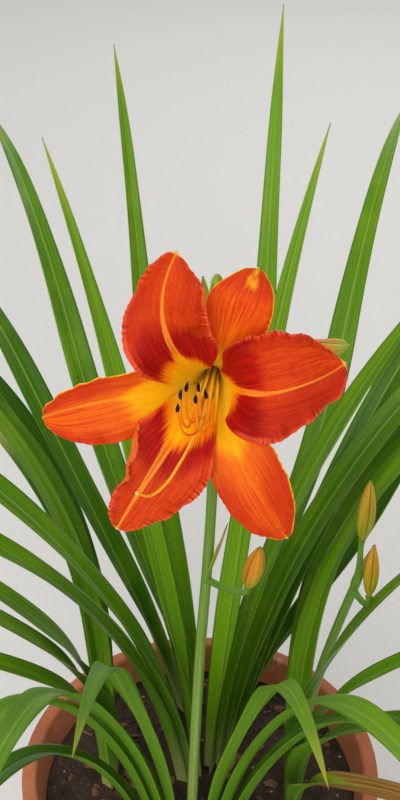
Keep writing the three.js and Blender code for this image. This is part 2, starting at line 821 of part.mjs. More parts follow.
// The bloom's own stalk runs from the top of the main scape into the foot of its tube.
const tubeFoot = new THREE.Vector3(bloom.x, bloom.y, bloom.z).addScaledVector(
  facing,
  -bloom.tube - tubeWall.floor - clearance,
);
const stalkPath = [
  [8, -53, 517],
  [7.6, -61, 537],
  tubeFoot.clone().addScaledVector(facing, -6).toArray(),
  tubeFoot.toArray(),
];
const stalk = bar(stalkPath, (s) => stalkRadius - 0.4 * s, 8, 8);
piece(daylily, "scape_main", scapeGeometry(mainScape, mainForks, mainBracts, [stalk]), colours.scape, 0.5);
piece(daylily, "scape_side", scapeGeometry(sideScape, sideForks, sideBracts, []), colours.scape, 0.5);
buds.forEach((bud, i) => {
  piece(daylily, `bud_${i + 1}`, budGeometry(bud), colours.bud, 0.5);
});

export default daylily;
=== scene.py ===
import math

import bmesh
import bpy
import numpy as np
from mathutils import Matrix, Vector


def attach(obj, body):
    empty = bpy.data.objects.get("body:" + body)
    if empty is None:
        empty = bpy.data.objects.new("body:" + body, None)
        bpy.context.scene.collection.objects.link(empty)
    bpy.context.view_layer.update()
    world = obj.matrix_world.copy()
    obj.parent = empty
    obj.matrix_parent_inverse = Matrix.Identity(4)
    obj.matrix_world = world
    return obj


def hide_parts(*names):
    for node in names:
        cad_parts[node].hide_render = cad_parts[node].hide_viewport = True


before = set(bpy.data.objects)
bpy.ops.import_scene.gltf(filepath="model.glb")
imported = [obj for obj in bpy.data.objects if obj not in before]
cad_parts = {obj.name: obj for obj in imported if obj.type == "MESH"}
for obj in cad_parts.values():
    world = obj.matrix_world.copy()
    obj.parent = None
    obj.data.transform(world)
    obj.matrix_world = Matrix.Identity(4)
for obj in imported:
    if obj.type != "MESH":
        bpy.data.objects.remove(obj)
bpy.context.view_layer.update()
scene = bpy.context.scene
mm = 0.001
fullTurn = 2 * math.pi


def smooth(low, high, x):
    t = np.clip((x - low) / (high - low), 0, 1)
    return t * t * (3 - 2 * t)


def curveValue(stations, values, x):
    # cubic Hermite through the stations, with averaged slopes
    stations, values = np.asarray(stations, float), np.asarray(values, float)
    spans = np.diff(stations)
    slopes = np.diff(values) / spans
    inner = (slopes[:-1] * spans[1:] + slopes[1:] * spans[:-1]) / (spans[:-1] + spans[1:])
    tangents = np.concatenate([slopes[:1], inner, slopes[-1:]])
    k = np.clip(np.searchsorted(stations, x) - 1, 0, len(spans) - 1)
    t = (x - stations[k]) / spans[k]
    rise = t * t * (3 - 2 * t)
    pull = tangents[k] * t * (1 - t) ** 2 - tangents[k + 1] * t * t * (1 - t)
    return values[k] * (1 - rise) + values[k + 1] * rise + spans[k] * pull


def wander(x, seed):
    # smooth wandering value between about -1 and 1
    rng = np.random.default_rng(seed)
    total = np.zeros_like(np.asarray(x, float))
    for octave in range(3):
        total += 0.6 ** octave * np.sin(x * 1.9 ** octave * rng.uniform(0.8, 1.2) + rng.uniform(0, 6.28))
    return total / 1.7


def unit(vectors):
    return vectors / np.maximum(np.linalg.norm(vectors, axis=-1, keepdims=True), 1e-12)


def turned(vectors, axes, angle):
    # each vector turned about its own axis
    c, k = np.cos(angle)[..., None], np.sin(angle)[..., None]
    upright = axes * np.sum(axes * vectors, -1, keepdims=True)
    return vectors * c + np.cross(axes, vectors) * k + upright * (1 - c)


def around(sides):
    return np.arange(sides) / sides * fullTurn


def circles(radius, height, angle):
    # points about the upright axis
    x, y = radius * np.cos(angle), radius * np.sin(angle)
    return np.stack([x, y, height + 0 * x], -1)


def smoothPath(points, count):
    # an even walk along a centripetal Catmull-Rom curve through the points, with its share of the length
    points = np.asarray(points, float)
    padded = np.concatenate([[2 * points[0] - points[1]], points, [2 * points[-1] - points[-2]]])
    dense = []
    for k in range(len(points) - 1):
        layers = padded[k:k + 4].copy()
        knots = np.append(0, np.cumsum(np.linalg.norm(np.diff(layers, axis=0), axis=1) ** 0.5))
        t = np.linspace(knots[1], knots[2], 24, endpoint=k == len(points) - 2)[:, None]
        layers = list(layers)
        for depth in (1, 2, 3):
            for i in range(4 - depth):
                low, high = (knots[i], knots[i + depth]) if depth < 3 else (knots[1], knots[2])
                share = (t - low) / (high - low)
                layers[i] = layers[i] * (1 - share) + layers[i + 1] * share
        dense.append(layers[0])
    dense = np.concatenate(dense)
    walked = np.append(0, np.cumsum(np.linalg.norm(np.diff(dense, axis=0), axis=1)))
    share = np.linspace(0, 1, count)
    even = np.stack([np.interp(share * walked[-1], walked, column) for column in dense.T], -1)
    return even, share, walked[-1]


def linear(colour):
    # a colour as seen on screen, 0 to 255, to Blender's linear colour; a socket passes through
    if not isinstance(colour, tuple):
        return colour
    return tuple(c / 255 / 12.92 if c <= 10 else ((c / 255 + 0.055) / 1.055) ** 2.4 for c in colour) + (1.0,)


class Field:
    # a socket that sums can be written with
    def __init__(self, tree, socket):
        self.tree, self.socket = tree, socket

    def reckon(self, operation, *terms):
        node = self.tree.nodes.new("ShaderNodeMath")
        node.operation = operation
        for plug, term in zip(node.inputs, terms):
            wire(self.tree, term, plug)
        return Field(self.tree, node.outputs[0])

    def __rsub__(self, other):
        return self.reckon("SUBTRACT", other, self)

    def ramp(self, low, high, start=0.0, end=1.0):
        # a smooth step from start to end as the field goes from low to high
        node = self.tree.nodes.new("ShaderNodeMapRange")
        node.interpolation_type = "SMOOTHSTEP"
        for plug, term in zip(node.inputs, (self, low, high, start, end)):
            wire(self.tree, term, plug)
        return Field(self.tree, node.outputs[0])


fieldSums = {
    "__add__": "ADD", "__sub__": "SUBTRACT", "__mul__": "MULTIPLY", "__truediv__": "DIVIDE",
    "__pow__": "POWER", "sin": "SINE", "cos": "COSINE", "abs": "ABSOLUTE", "floor": "FLOOR",
    "most": "MAXIMUM", "least": "MINIMUM",
}
for label, operation in fieldSums.items():
    setattr(Field, label, lambda self, *others, rule=operation: self.reckon(rule, self, *others))


def wire(tree, value, plug):
    if isinstance(value, Field):
        value = value.socket
    if isinstance(value, bpy.types.NodeSocket):
        tree.links.new(value, plug)
    else:
        plug.default_value = value


def put(tree, kind, wires=None, **settings):
    # a new node with its settings and what goes into it
    node = tree.nodes.new(kind)
    for key, value in settings.items():
        setattr(node, key, value)
    for key, value in (wires or {}).items():
        wire(tree, value, node.inputs[key])
    return node


def flow(tree, kind, wires=None, **settings):
    # the first output of a new node
    return put(tree, kind, wires, **settings).outputs[0]


def vector(tree, x, y, z):
    return flow(tree, "ShaderNodeCombineXYZ", {0: x, 1: y, 2: z})


def split(tree, socket):
    return [Field(tree, plug) for plug in put(tree, "ShaderNodeSeparateXYZ", {0: socket}).outputs]


def vectorSum(tree, operation, *terms, **wires):
    return flow(tree, "ShaderNodeVectorMath", {**dict(enumerate(terms)), **wires}, operation=operation)


def store(tree, geometry, name, value, **settings):
    return flow(tree, "GeometryNodeStoreNamedAttribute", {"Geometry": geometry, "Name": name, "Value": value},
                **settings)


def newTree(name, *sockets):
    # a tree with named inputs, and the fields of those inputs
    kinds = {"Geometry": "NodeSocketGeometry", "Material": "NodeSocketMaterial", "Foot": "NodeSocketVector"}
    tree = bpy.data.node_groups.new(name, "GeometryNodeTree")
    for label in sockets:
        tree.interface.new_socket(name=label, in_out="INPUT", socket_type=kinds.get(label, "NodeSocketFloat"))
    tree.interface.new_socket(name="Geometry", in_out="OUTPUT", socket_type="NodeSocketGeometry")
    given = tree.nodes.new("NodeGroupInput")
    return tree, {label: Field(tree, given.outputs[label]) for label in sockets}


def endTree(tree, geometry, material):
    real = flow(tree, "GeometryNodeRealizeInstances", {"Geometry": geometry})
    shaded = flow(tree, "GeometryNodeSetShadeSmooth", {"Geometry": real})
    dressed = flow(tree, "GeometryNodeSetMaterial", {"Geometry": shaded, "Material": material})
    put(tree, "NodeGroupOutput", {"Geometry": dressed})
    return tree


def grow(name, tree, values, mesh=None):
    # runs a tree on a mesh and keeps the result as a plain mesh
    seed = bpy.data.objects.new(name, mesh or bpy.data.meshes.new(name))
    scene.collection.objects.link(seed)
    modifier = seed.modifiers.new("grow", "NODES")
    modifier.node_group = tree
    for item in tree.interface.items_tree:
        if item.in_out == "INPUT" and item.name in values:
            modifier[item.identifier] = values[item.name]
    evaluated = seed.evaluated_get(bpy.context.evaluated_depsgraph_get())
    made = bpy.data.meshes.new_from_object(evaluated)
    seed.modifiers.remove(modifier)
    seed.data = made
    made.name = name
    return seed


def meshObject(name, vertices, faces, material, uvs=None, facts=None):
    # an object from arrays; uvs and facts, its attributes, hold one entry for each vertex
    mesh = bpy.data.meshes.new(name)
    mesh.from_pydata(vertices.tolist(), [], faces)
    mesh.shade_smooth()
    if uvs is not None:
        layer = mesh.uv_layers.new(name="UVMap")
        loops = np.zeros(len(mesh.loops), int)
        mesh.loops.foreach_get("vertex_index", loops)
        layer.data.foreach_set("uv", uvs[loops].ravel())
    for label, values in (facts or {}).items():
        attribute = mesh.attributes.new(label, "FLOAT", "POINT")
        attribute.data.foreach_set("value", np.asarray(values, float).ravel())
    mesh.materials.append(material)
    made = bpy.data.objects.new(name, mesh)
    scene.collection.objects.link(made)
    return made


def finishPiece(piece, slot, *nodes):
    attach(piece, "root")
    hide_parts(*nodes)


def shell(points, thickness):
    # a closed skin round a grid of points: thickness falls to nothing at the grid's border
    rows, columns = points.shape[:2]
    total = rows * columns
    normal = unit(np.cross(np.gradient(points, axis=0), np.gradient(points, axis=1)))
    offset = normal * thickness[..., None] / 2
    border = np.ones((rows, columns), bool)
    border[1:-1, 1:-1] = False
    upper = np.arange(total).reshape(rows, columns)
    lower = np.where(border, upper, upper + total)
    quads = [np.stack([n[:-1, :-1], n[:-1, 1:], n[1:, 1:], n[1:, :-1]], -1).reshape(-1, 4)
             for n in (upper, lower)]
    faces = np.concatenate([quads[0][:, ::-1], quads[1]])
    vertices = np.concatenate([(points + offset).reshape(-1, 3), (points - offset).reshape(-1, 3)])
    vertices[:total][border.ravel()] = points[border]
    used = np.unique(faces)
    order = np.full(len(vertices), -1)
    order[used] = np.arange(len(used))
    return vertices[used], order[faces], used % total, used >= total


def joinShells(sheets):
    # joins the skins of sheets, each a grid of points, its thickness and its facts
    vertices, faces, facts, count = [], [], {"under": []}, 0
    for points, thickness, own in sheets:
        corners, quads, source, under = shell(points, thickness)
        vertices.append(corners)
        faces.append(quads + count)
        facts["under"].append(under)
        for key, values in own.items():
            facts.setdefault(key, []).append(values.reshape(thickness.size, -1)[source])
        count += len(corners)
    facts = {key: np.concatenate(values) for key, values in facts.items()}
    return np.concatenate(vertices), np.concatenate(faces).tolist(), facts


def ringFaces(rows, sides):
    i, j = np.meshgrid(np.arange(rows - 1), np.arange(sides), indexing="ij")
    a, b = (i * sides + j).ravel(), (i * sides + (j + 1) % sides).ravel()
    return np.stack([a, b, b + sides, a + sides], 1).tolist()


def closedRings(points, poles=None):
    # a closed skin over rings of points, with a pole at each end
    rows, sides = points.shape[:2]
    faces = ringFaces(rows, sides)
    foot, top, last = rows * sides, rows * sides + 1, (rows - 1) * sides
    for j in range(sides):
        following = (j + 1) % sides
        faces += [(foot, following, j), (last + j, last + following, top)]
    if poles is None:
        poles = [points[0].mean(0), points[-1].mean(0)]
    return np.concatenate([points.reshape(-1, 3), poles]), faces


def ringFacts(values, grid, foot, top):
    # one value for each point of the rings and for the two poles
    return np.append(np.broadcast_to(values, grid).ravel(), [foot, top])


class Skin:
    # a procedural material that is painted coat by coat
    def __init__(self, name, roughness, **sockets):
        self.material = bpy.data.materials.new(name)
        self.material.use_nodes = True
        self.tree = self.material.node_tree
        self.shader = self.tree.nodes["Principled BSDF"]
        for label, value in {"Roughness": roughness, **sockets}.items():
            self.shader.inputs[label.replace("_", " ")].default_value = value

    def facts(self, *names):
        # fields that read the mesh's attributes
        return [Field(self.tree, put(self.tree, "ShaderNodeAttribute", attribute_name=name).outputs["Fac"])
                for name in names]

    def uv(self):
        return split(self.tree, flow(self.tree, "ShaderNodeUVMap", uv_map="UVMap"))[:2]

    def point(self):
        return put(self.tree, "ShaderNodeTexCoord").outputs["Object"]

    def noise(self, coordinates, scale, detail, roughness):
        wires = {"Vector": coordinates, "Scale": scale, "Detail": detail, "Roughness": roughness}
        return Field(self.tree, flow(self.tree, "ShaderNodeTexNoise", wires))

    def grain(self, scale, detail, roughness):
        # noise in the space of the object
        return self.noise(self.point(), scale, detail, roughness)

    def streak(self, x, y, z, detail, roughness, scale=1.0):
        # noise on stretched coordinates of the surface
        return self.noise(vector(self.tree, x, y, z), scale, detail, roughness)

    def mix(self, share, first, second):
        return put(self.tree, "ShaderNodeMix", {0: share, 6: linear(first), 7: linear(second)},
                   data_type="RGBA").outputs[2]

    def paint(self, colour, *coats):
        # coats are laid over a colour, each a share and a colour
        for share, coat in coats:
            colour = self.mix(share, colour, coat)
        return colour

    def finish(self, colour, height, distance, strength):
        # the colour, and a bump of a height whose distance is in millimetres
        wire(self.tree, colour, self.shader.inputs["Base Color"])
        relief = flow(self.tree, "ShaderNodeBump",
                      {"Height": height, "Distance": distance * mm, "Strength": strength})
        wire(self.tree, relief, self.shader.inputs["Normal"])
        return self.material


view = {"target": (0, -110, 560), "distance": 550, "elevation": 35, "lens": 58.16}
lights = {
    "key": {"place": (-1.1, -1.5, 2.4), "size": 1.8, "power": 37, "colour": (1, 0.98, 0.94)},
    "fill": {"place": (0.1, -2.3, 1.35), "size": 1.2, "power": 18, "colour": (1, 0.99, 0.97)},
    "back": {"place": (0.5, 1.9, 1.9), "size": 1.6, "power": 22, "colour": (1, 1, 1)},
}
lightAim = (0, 0, 0.4)
sky = {"colour": (1, 0.99, 0.97, 1), "strength": 0.42}
paleFloor = {"reach": 4.0, "colour": (0.72, 0.72, 0.70, 1), "roughness": 0.7}


def setCamera():
    camera = bpy.data.cameras.new("camera")
    camera.lens = view["lens"]
    camera.sensor_width = 36
    camera.clip_start = 0.01
    holder = bpy.data.objects.new("camera", camera)
    tilt = math.radians(view["elevation"])
    back = Vector((0, -math.cos(tilt), math.sin(tilt)))
    holder.location = Vector(view["target"]) * mm + back * view["distance"] * mm
    holder.rotation_euler = (math.radians(90) - tilt, 0, 0)
    scene.collection.objects.link(holder)
    scene.camera = holder


def setLights():
    for name, facts in lights.items():
        lamp = bpy.data.lights.new(name, "AREA")
        lamp.size = facts["size"]
        lamp.energy = facts["power"]
        lamp.color = facts["colour"]
        holder = bpy.data.objects.new(name, lamp)
        holder.location = facts["place"]
        aim = Vector(lightAim) - holder.location
        holder.rotation_euler = aim.to_track_quat("-Z", "Y").to_euler()
        scene.collection.objects.link(holder)
    world = bpy.data.worlds.new("studio")
    world.use_nodes = True
    background = world.node_tree.nodes["Background"]
    background.inputs[0].default_value = sky["colour"]
    background.inputs[1].default_value = sky["strength"]
    scene.world = world


def layFloor():
    reach = paleFloor["reach"]
    corners = np.array([(-reach, -reach, 0), (reach, -reach, 0), (reach, reach, 0), (-reach, reach, 0)])
    skin = Skin("paleFloor", paleFloor["roughness"], Base_Color=paleFloor["colour"])
    meshObject("floor", corners, [(0, 1, 2, 3)], skin.material)


setCamera()
setLights()
layFloor()
scene.view_settings.view_transform = "Standard"
print("stage set")

bloom = {"centre": (4, -101, 562), "rise": 20, "turn": -5, "tube": 28, "overlap": 9}
rise, turn = math.radians(bloom["rise"]), math.radians(bloom["turn"])
facing = Vector((math.sin(turn) * math.cos(rise), -math.cos(turn) * math.cos(rise), math.sin(rise)))
acrossFace = Vector((math.cos(turn), math.sin(turn), 0))
bloomAxes = np.array([acrossFace, facing.cross(acrossFace), facing])
bloomCentre = np.array(bloom["centre"], float)


def fromBloom(points):
    # from the bloom's own frame, in millimetres, to the plant's frame in metres
    return (bloomCentre + np.asarray(points, float) @ bloomAxes) * mm


# lift, left, right, roll and cup are given at these shares of a tepal's length
stations = [0, 0.22, 0.32, 0.44, 0.6, 0.78, 0.9, 1]
# deep, the share of painted shade mixed with the tepal's own deeper red, and throat and eye, the borders of the
# colour zones, are given at these places across it
tLine = [-1, -0.6, -0.3, 0, 0.3, 0.6, 1]
midribSteps = 240
# what a tepal has unless its own dictionary says otherwise; depths run inwards from its margin
plainTepal = {
    "frill": 1, "waves": 0, "glow": 0, "plainSide": 0, "ribStrength": 1, "ribClose": 0.88, "between": 0,
    "fade": 0, "crown": 0, "patch": 0, "curls": [], "lips": [], "leastHalf": 0.35, "tipRound": 2.2,
    "frillFrom": 0.44, "frillFull": 0.62, "crimpDepth": 1.8, "ruffleDepth": 4.2, "rimDepth": 2.2,
    "pucker": 0.22, "puckerDepth": 5, "scallop": 0.5, "fold": 0.16,
}
petalForm = {
    "foot": 3.6, "cup": [240, 165, 92, 38, 12, 0, -4, -6], "rows": 380, "columns": 61, "thickness": 0.75,
    "wave": 1.5, "crimp": 0.54, "crimpLength": 2.1, "ruffle": 0.75, "ruffleLength": 5.6, "groove": 0.5,
    "point": 0.6,
}
sepalForm = {
    "foot": 5, "cup": [170, 137, 85, 34, 12, 4, 4, 6], "rows": 130, "columns": 45, "thickness": 0.8,
    "wave": 0.5, "crimp": 0.26, "crimpLength": 3.4, "ruffle": 0.6, "ruffleLength": 9.5, "groove": 0.35,
    "point": 1.1, "rib": 0.6, "ribGap": 0.5,
}
petals = {
    "petalTop": {
        "azimuth": 135, "drift": -33, "length": 93.5, "lift": [86, 80, 62, 48, 35, 5, -7, 8],
        "left": [2.6, 4.2, 8.5, 12, 18.3, 15.3, 9.4, 2], "right": [2.6, 4.2, 8.5, 16, 18, 19.3, 17.5, 2],
        "roll": [0, 0, 0, 0, 7, -20, -19, 4], "seed": 3, "frill": 0.8, "rib": 0.7, "ribGap": 0.8,
        "deep": [0.6, 0.45, 0.3, 0.25, 0.4, 0.5, 0.6],
        "throat": [0.26, 0.33, 0.42, 0.49, 0.50, 0.485, 0.44],
        "eye": [0.50, 0.60, 0.66, 0.69, 0.70, 0.68, 0.54],
        "lips": [{"side": -1, "from": 0.45, "to": 1.0, "width": 1.7},
                 {"side": 1, "from": 0.44, "to": 0.74, "width": 2.2}]},
    "petalRight": {
        "azimuth": 1, "drift": 14.5, "length": 90.6, "lift": [86, 80, 62, 60, 19, -8.5, -15, -24],
        "left": [2.6, 4.2, 8.5, 19.5, 26, 25.3, 19, 2], "right": [2.6, 4.2, 8.5, 17, 21.5, 16, 12.5, 2],
        "roll": [0, 0, 0, 0, 2.5, 11.5, 13, -8], "seed": 11, "frill": 0.85,
        "rib": 0.6, "ribGap": 0.72, "ribClose": 0.82, "between": 0.6,
        "deep": [0.9, 0.85, 0.7, 0.3, 0.1, 0.2, 0.9],
        "throat": [0.37, 0.40, 0.41, 0.41, 0.35, 0.30, 0.26],
        "eye": [0.56, 0.585, 0.57, 0.575, 0.61, 0.61, 0.58],
        "lips": [{"side": -1, "from": 0.42, "to": 0.66, "width": 3.0}]},
    "petalLow": {
        "azimuth": 235.5, "drift": 3.3, "length": 101, "lift": [86, 80, 60, 43, 22.5, 11.5, -3, -20.5],
        "left": [2.6, 4.2, 8.5, 15.5, 22.3, 19, 11.7, 2], "right": [2.6, 4.2, 8.5, 12, 16.4, 9.2, 8.2, 2],
        "roll": [0, 0, 0, 0, -2, -9, -5, -2.5], "seed": 23,
        "rib": 0.72, "ribGap": 1.35, "ribClose": 0.96, "between": 0.46,
        "deep": [0.45, 0.4, 0.25, 0.1, 0.1, 0.2, 0.3],
        "throat": [0.42, 0.46, 0.51, 0.545, 0.52, 0.47, 0.40],
        "eye": [0.48, 0.61, 0.68, 0.69, 0.67, 0.60, 0.50],
        "curls": [{"side": -1, "from": 0.50, "to": 0.87, "width": 5.6, "radius": 1.5}],
        "lips": [{"side": -1, "from": 0.42, "to": 0.98, "width": 1.8}]},
}
sepals = [
    {"azimuth": 69.4, "drift": 1, "length": 81.5, "lift": [86, 80, 58, 38, 26.5, 9.5, -19.5, -52],
     "left": [2.6, 3.6, 7, 11, 12, 15, 9.5, 1.5], "right": [2.6, 3.6, 7, 11, 12.8, 13, 9.5, 1.5],
     "roll": [0, 0, 0, 0, 0, -3, -4, -4.5], "seed": 31, "ribStrength": 0.55, "glow": 0.5,
     "deep": [0.8, 0.5, 0.15, 0.0, 0.15, 0.55, 0.9], "fade": 0.45, "crown": 0.75, "patch": 1.0,
     "throat": [0.40, 0.44, 0.47, 0.49, 0.47, 0.44, 0.40]},
    {"azimuth": 180.6, "drift": 11, "length": 101.4, "lift": [86, 80, 58, 37.5, 16.5, -0.5, -18, -44],
     "left": [2.6, 3.6, 7, 11, 17.4, 17, 11.6, 1.5], "right": [2.6, 3.6, 7, 11, 10.4, 9.2, 6.2, 1.5],
     "roll": [0, 0, 0, 0, 0, 4, 7.3, 7.7], "seed": 41, "waves": 0.5, "glow": 0.3, "plainSide": 1,
     "deep": [1.0, 0.9, 0.6, 0.1, 0.15, 0.45, 0.8],
     "throat": [0.46, 0.51, 0.57, 0.61, 0.61, 0.57, 0.49]},
    {"azimuth": 298.6, "drift": 2.2, "length": 101, "lift": [86, 80, 58, 37.7, 17, -1.4, -13.4, -19],
     "left": [2.6, 3.6, 7, 11, 15.2, 14.2, 9.4, 1.5], "right": [2.6, 3.6, 7, 11, 14.3, 14.2, 10, 1.5],
     "roll": [0, 0, 0, 0, 0, 2.5, -0.8, -0.2], "seed": 53, "ribStrength": 0.6, "glow": 0.45, "plainSide": -1,
     "deep": [0.95, 0.65, 0.4, 0.35, 0.6, 0.95, 1.0], "patch": 0.45,
     "throat": [0.44, 0.50, 0.55, 0.57, 0.55, 0.50, 0.44]},
]
# deep, a darker red, is painted shade, partly the tepal's own deeper red
petalColours = {
    "body": (204, 52, 6), "bodyPale": (230, 84, 18), "deep": (184, 34, 4), "speck": (240, 96, 36),
    "vein": (170, 28, 4), "veinShare": 0.42, "lineShare": 0.28, "meshShare": 0.4,
    # the crest and fold shares paint a highlight on the crimps' crests and painted shade in their folds
    "rim": (240, 92, 52), "rimFrom": 0.30, "rimShare": 0.75, "foldShadeShare": 0.6, "crestHighlightShare": 0.65,
    "eye": (160, 8, 6), "eyePale": (196, 26, 8), "eyeVein": (118, 4, 4), "eyeShare": 1.0,
    "rib": (250, 150, 44), "ribShare": 0.84, "tip": (246, 120, 40), "point": (250, 190, 110),
    # the deep throat colour is the throat's own olive-yellow painted lighter, as painted light
    "throat": (252, 178, 2), "throatDeepPaintedLighter": (238, 200, 34), "throatVein": (226, 140, 0),
    "throatGroove": (184, 140, 6), "throatEdge": (246, 120, 6),
    "back": (228, 96, 44), "backVein": (206, 62, 22), "backFoot": (222, 186, 62),
}
# deep, a darker red, is painted shade, partly the sepal's own deeper red
sepalColours = {
    "body": (230, 76, 8), "bodyPale": (252, 116, 18), "deep": (196, 46, 6), "speck": (248, 124, 36),
    "vein": (190, 40, 6), "veinShare": 0.6, "lineShare": 0.5, "meshShare": 0.18,
    # the crest and fold shares paint a highlight on the crimps' crests and painted shade in their folds
    "rim": (250, 196, 50), "rimFrom": 0.66, "rimShare": 0.95, "foldShadeShare": 0.25, "crestHighlightShare": 0.0,
    "eye": (240, 84, 18), "eyePale": (240, 84, 18), "eyeVein": (190, 50, 10), "eyeShare": 0.0,
    "rib": (252, 150, 40), "ribShare": 0.6, "tip": (254, 178, 36), "point": (250, 224, 120),
    # the deep throat colour is the throat's own olive-yellow painted lighter, as painted light
    "throat": (246, 176, 2), "throatDeepPaintedLighter": (238, 200, 34), "throatVein": (232, 146, 0),
    "throatGroove": (196, 150, 6), "throatEdge": (248, 130, 14),
    "back": (236, 132, 52), "backVein": (214, 92, 26), "backFoot": (208, 190, 72),
}


def midribPoints(shape, s):
    # the midrib runs up the tube, then outwards, lifted off the bloom's plane by the given angles
    marks = np.arange(midribSteps + 1) / midribSteps
    lift = np.radians(curveValue(stations, shape["lift"], (np.arange(midribSteps) + 0.5) / midribSteps))
    step = shape["length"] / midribSteps
    radius = shape["foot"] + np.append(0, np.cumsum(np.cos(lift) * step))
    height = -bloom["tube"] + np.append(0, np.cumsum(np.sin(lift) * step))
    beyond = np.maximum(0, (s * shape["length"] - bloom["tube"]) / (shape["length"] - bloom["tube"]))
    azimuth = np.radians(shape["azimuth"] + shape["drift"] * beyond ** 1.5)
    return circles(np.interp(s, marks, radius), np.interp(s, marks, height), azimuth)


def marginWaves(shape, reach, t):
    # the crimps of each margin, their pull along the sheet, and its slower ruffles
    seed = shape["seed"]
    lift = pull = slow = 0
    for k in (0, 1):
        here = (t > 0) == (k > 0)
        turns = fullTurn / shape["crimpLength"] * (reach + wander(reach / 2.9, seed + k))
        strength = np.clip(0.6 + 0.7 * wander(reach / 3.1, seed + 5 + k), 0.1, 1.3)
        lift = lift + here * strength * (0.8 * np.sin(turns) + 0.35 * np.sin(0.57 * turns + seed))
        pull = pull + here * strength * np.cos(turns)
        rolls = fullTurn / shape["ruffleLength"] * (reach + 2.2 * wander(reach / 8, seed + 13 + k))
        slow = slow + here * np.sin(rolls) * np.clip(0.7 + 0.6 * wander(reach / 9, seed + 17 + k), 0.1, 1.3)
    return lift, pull, slow


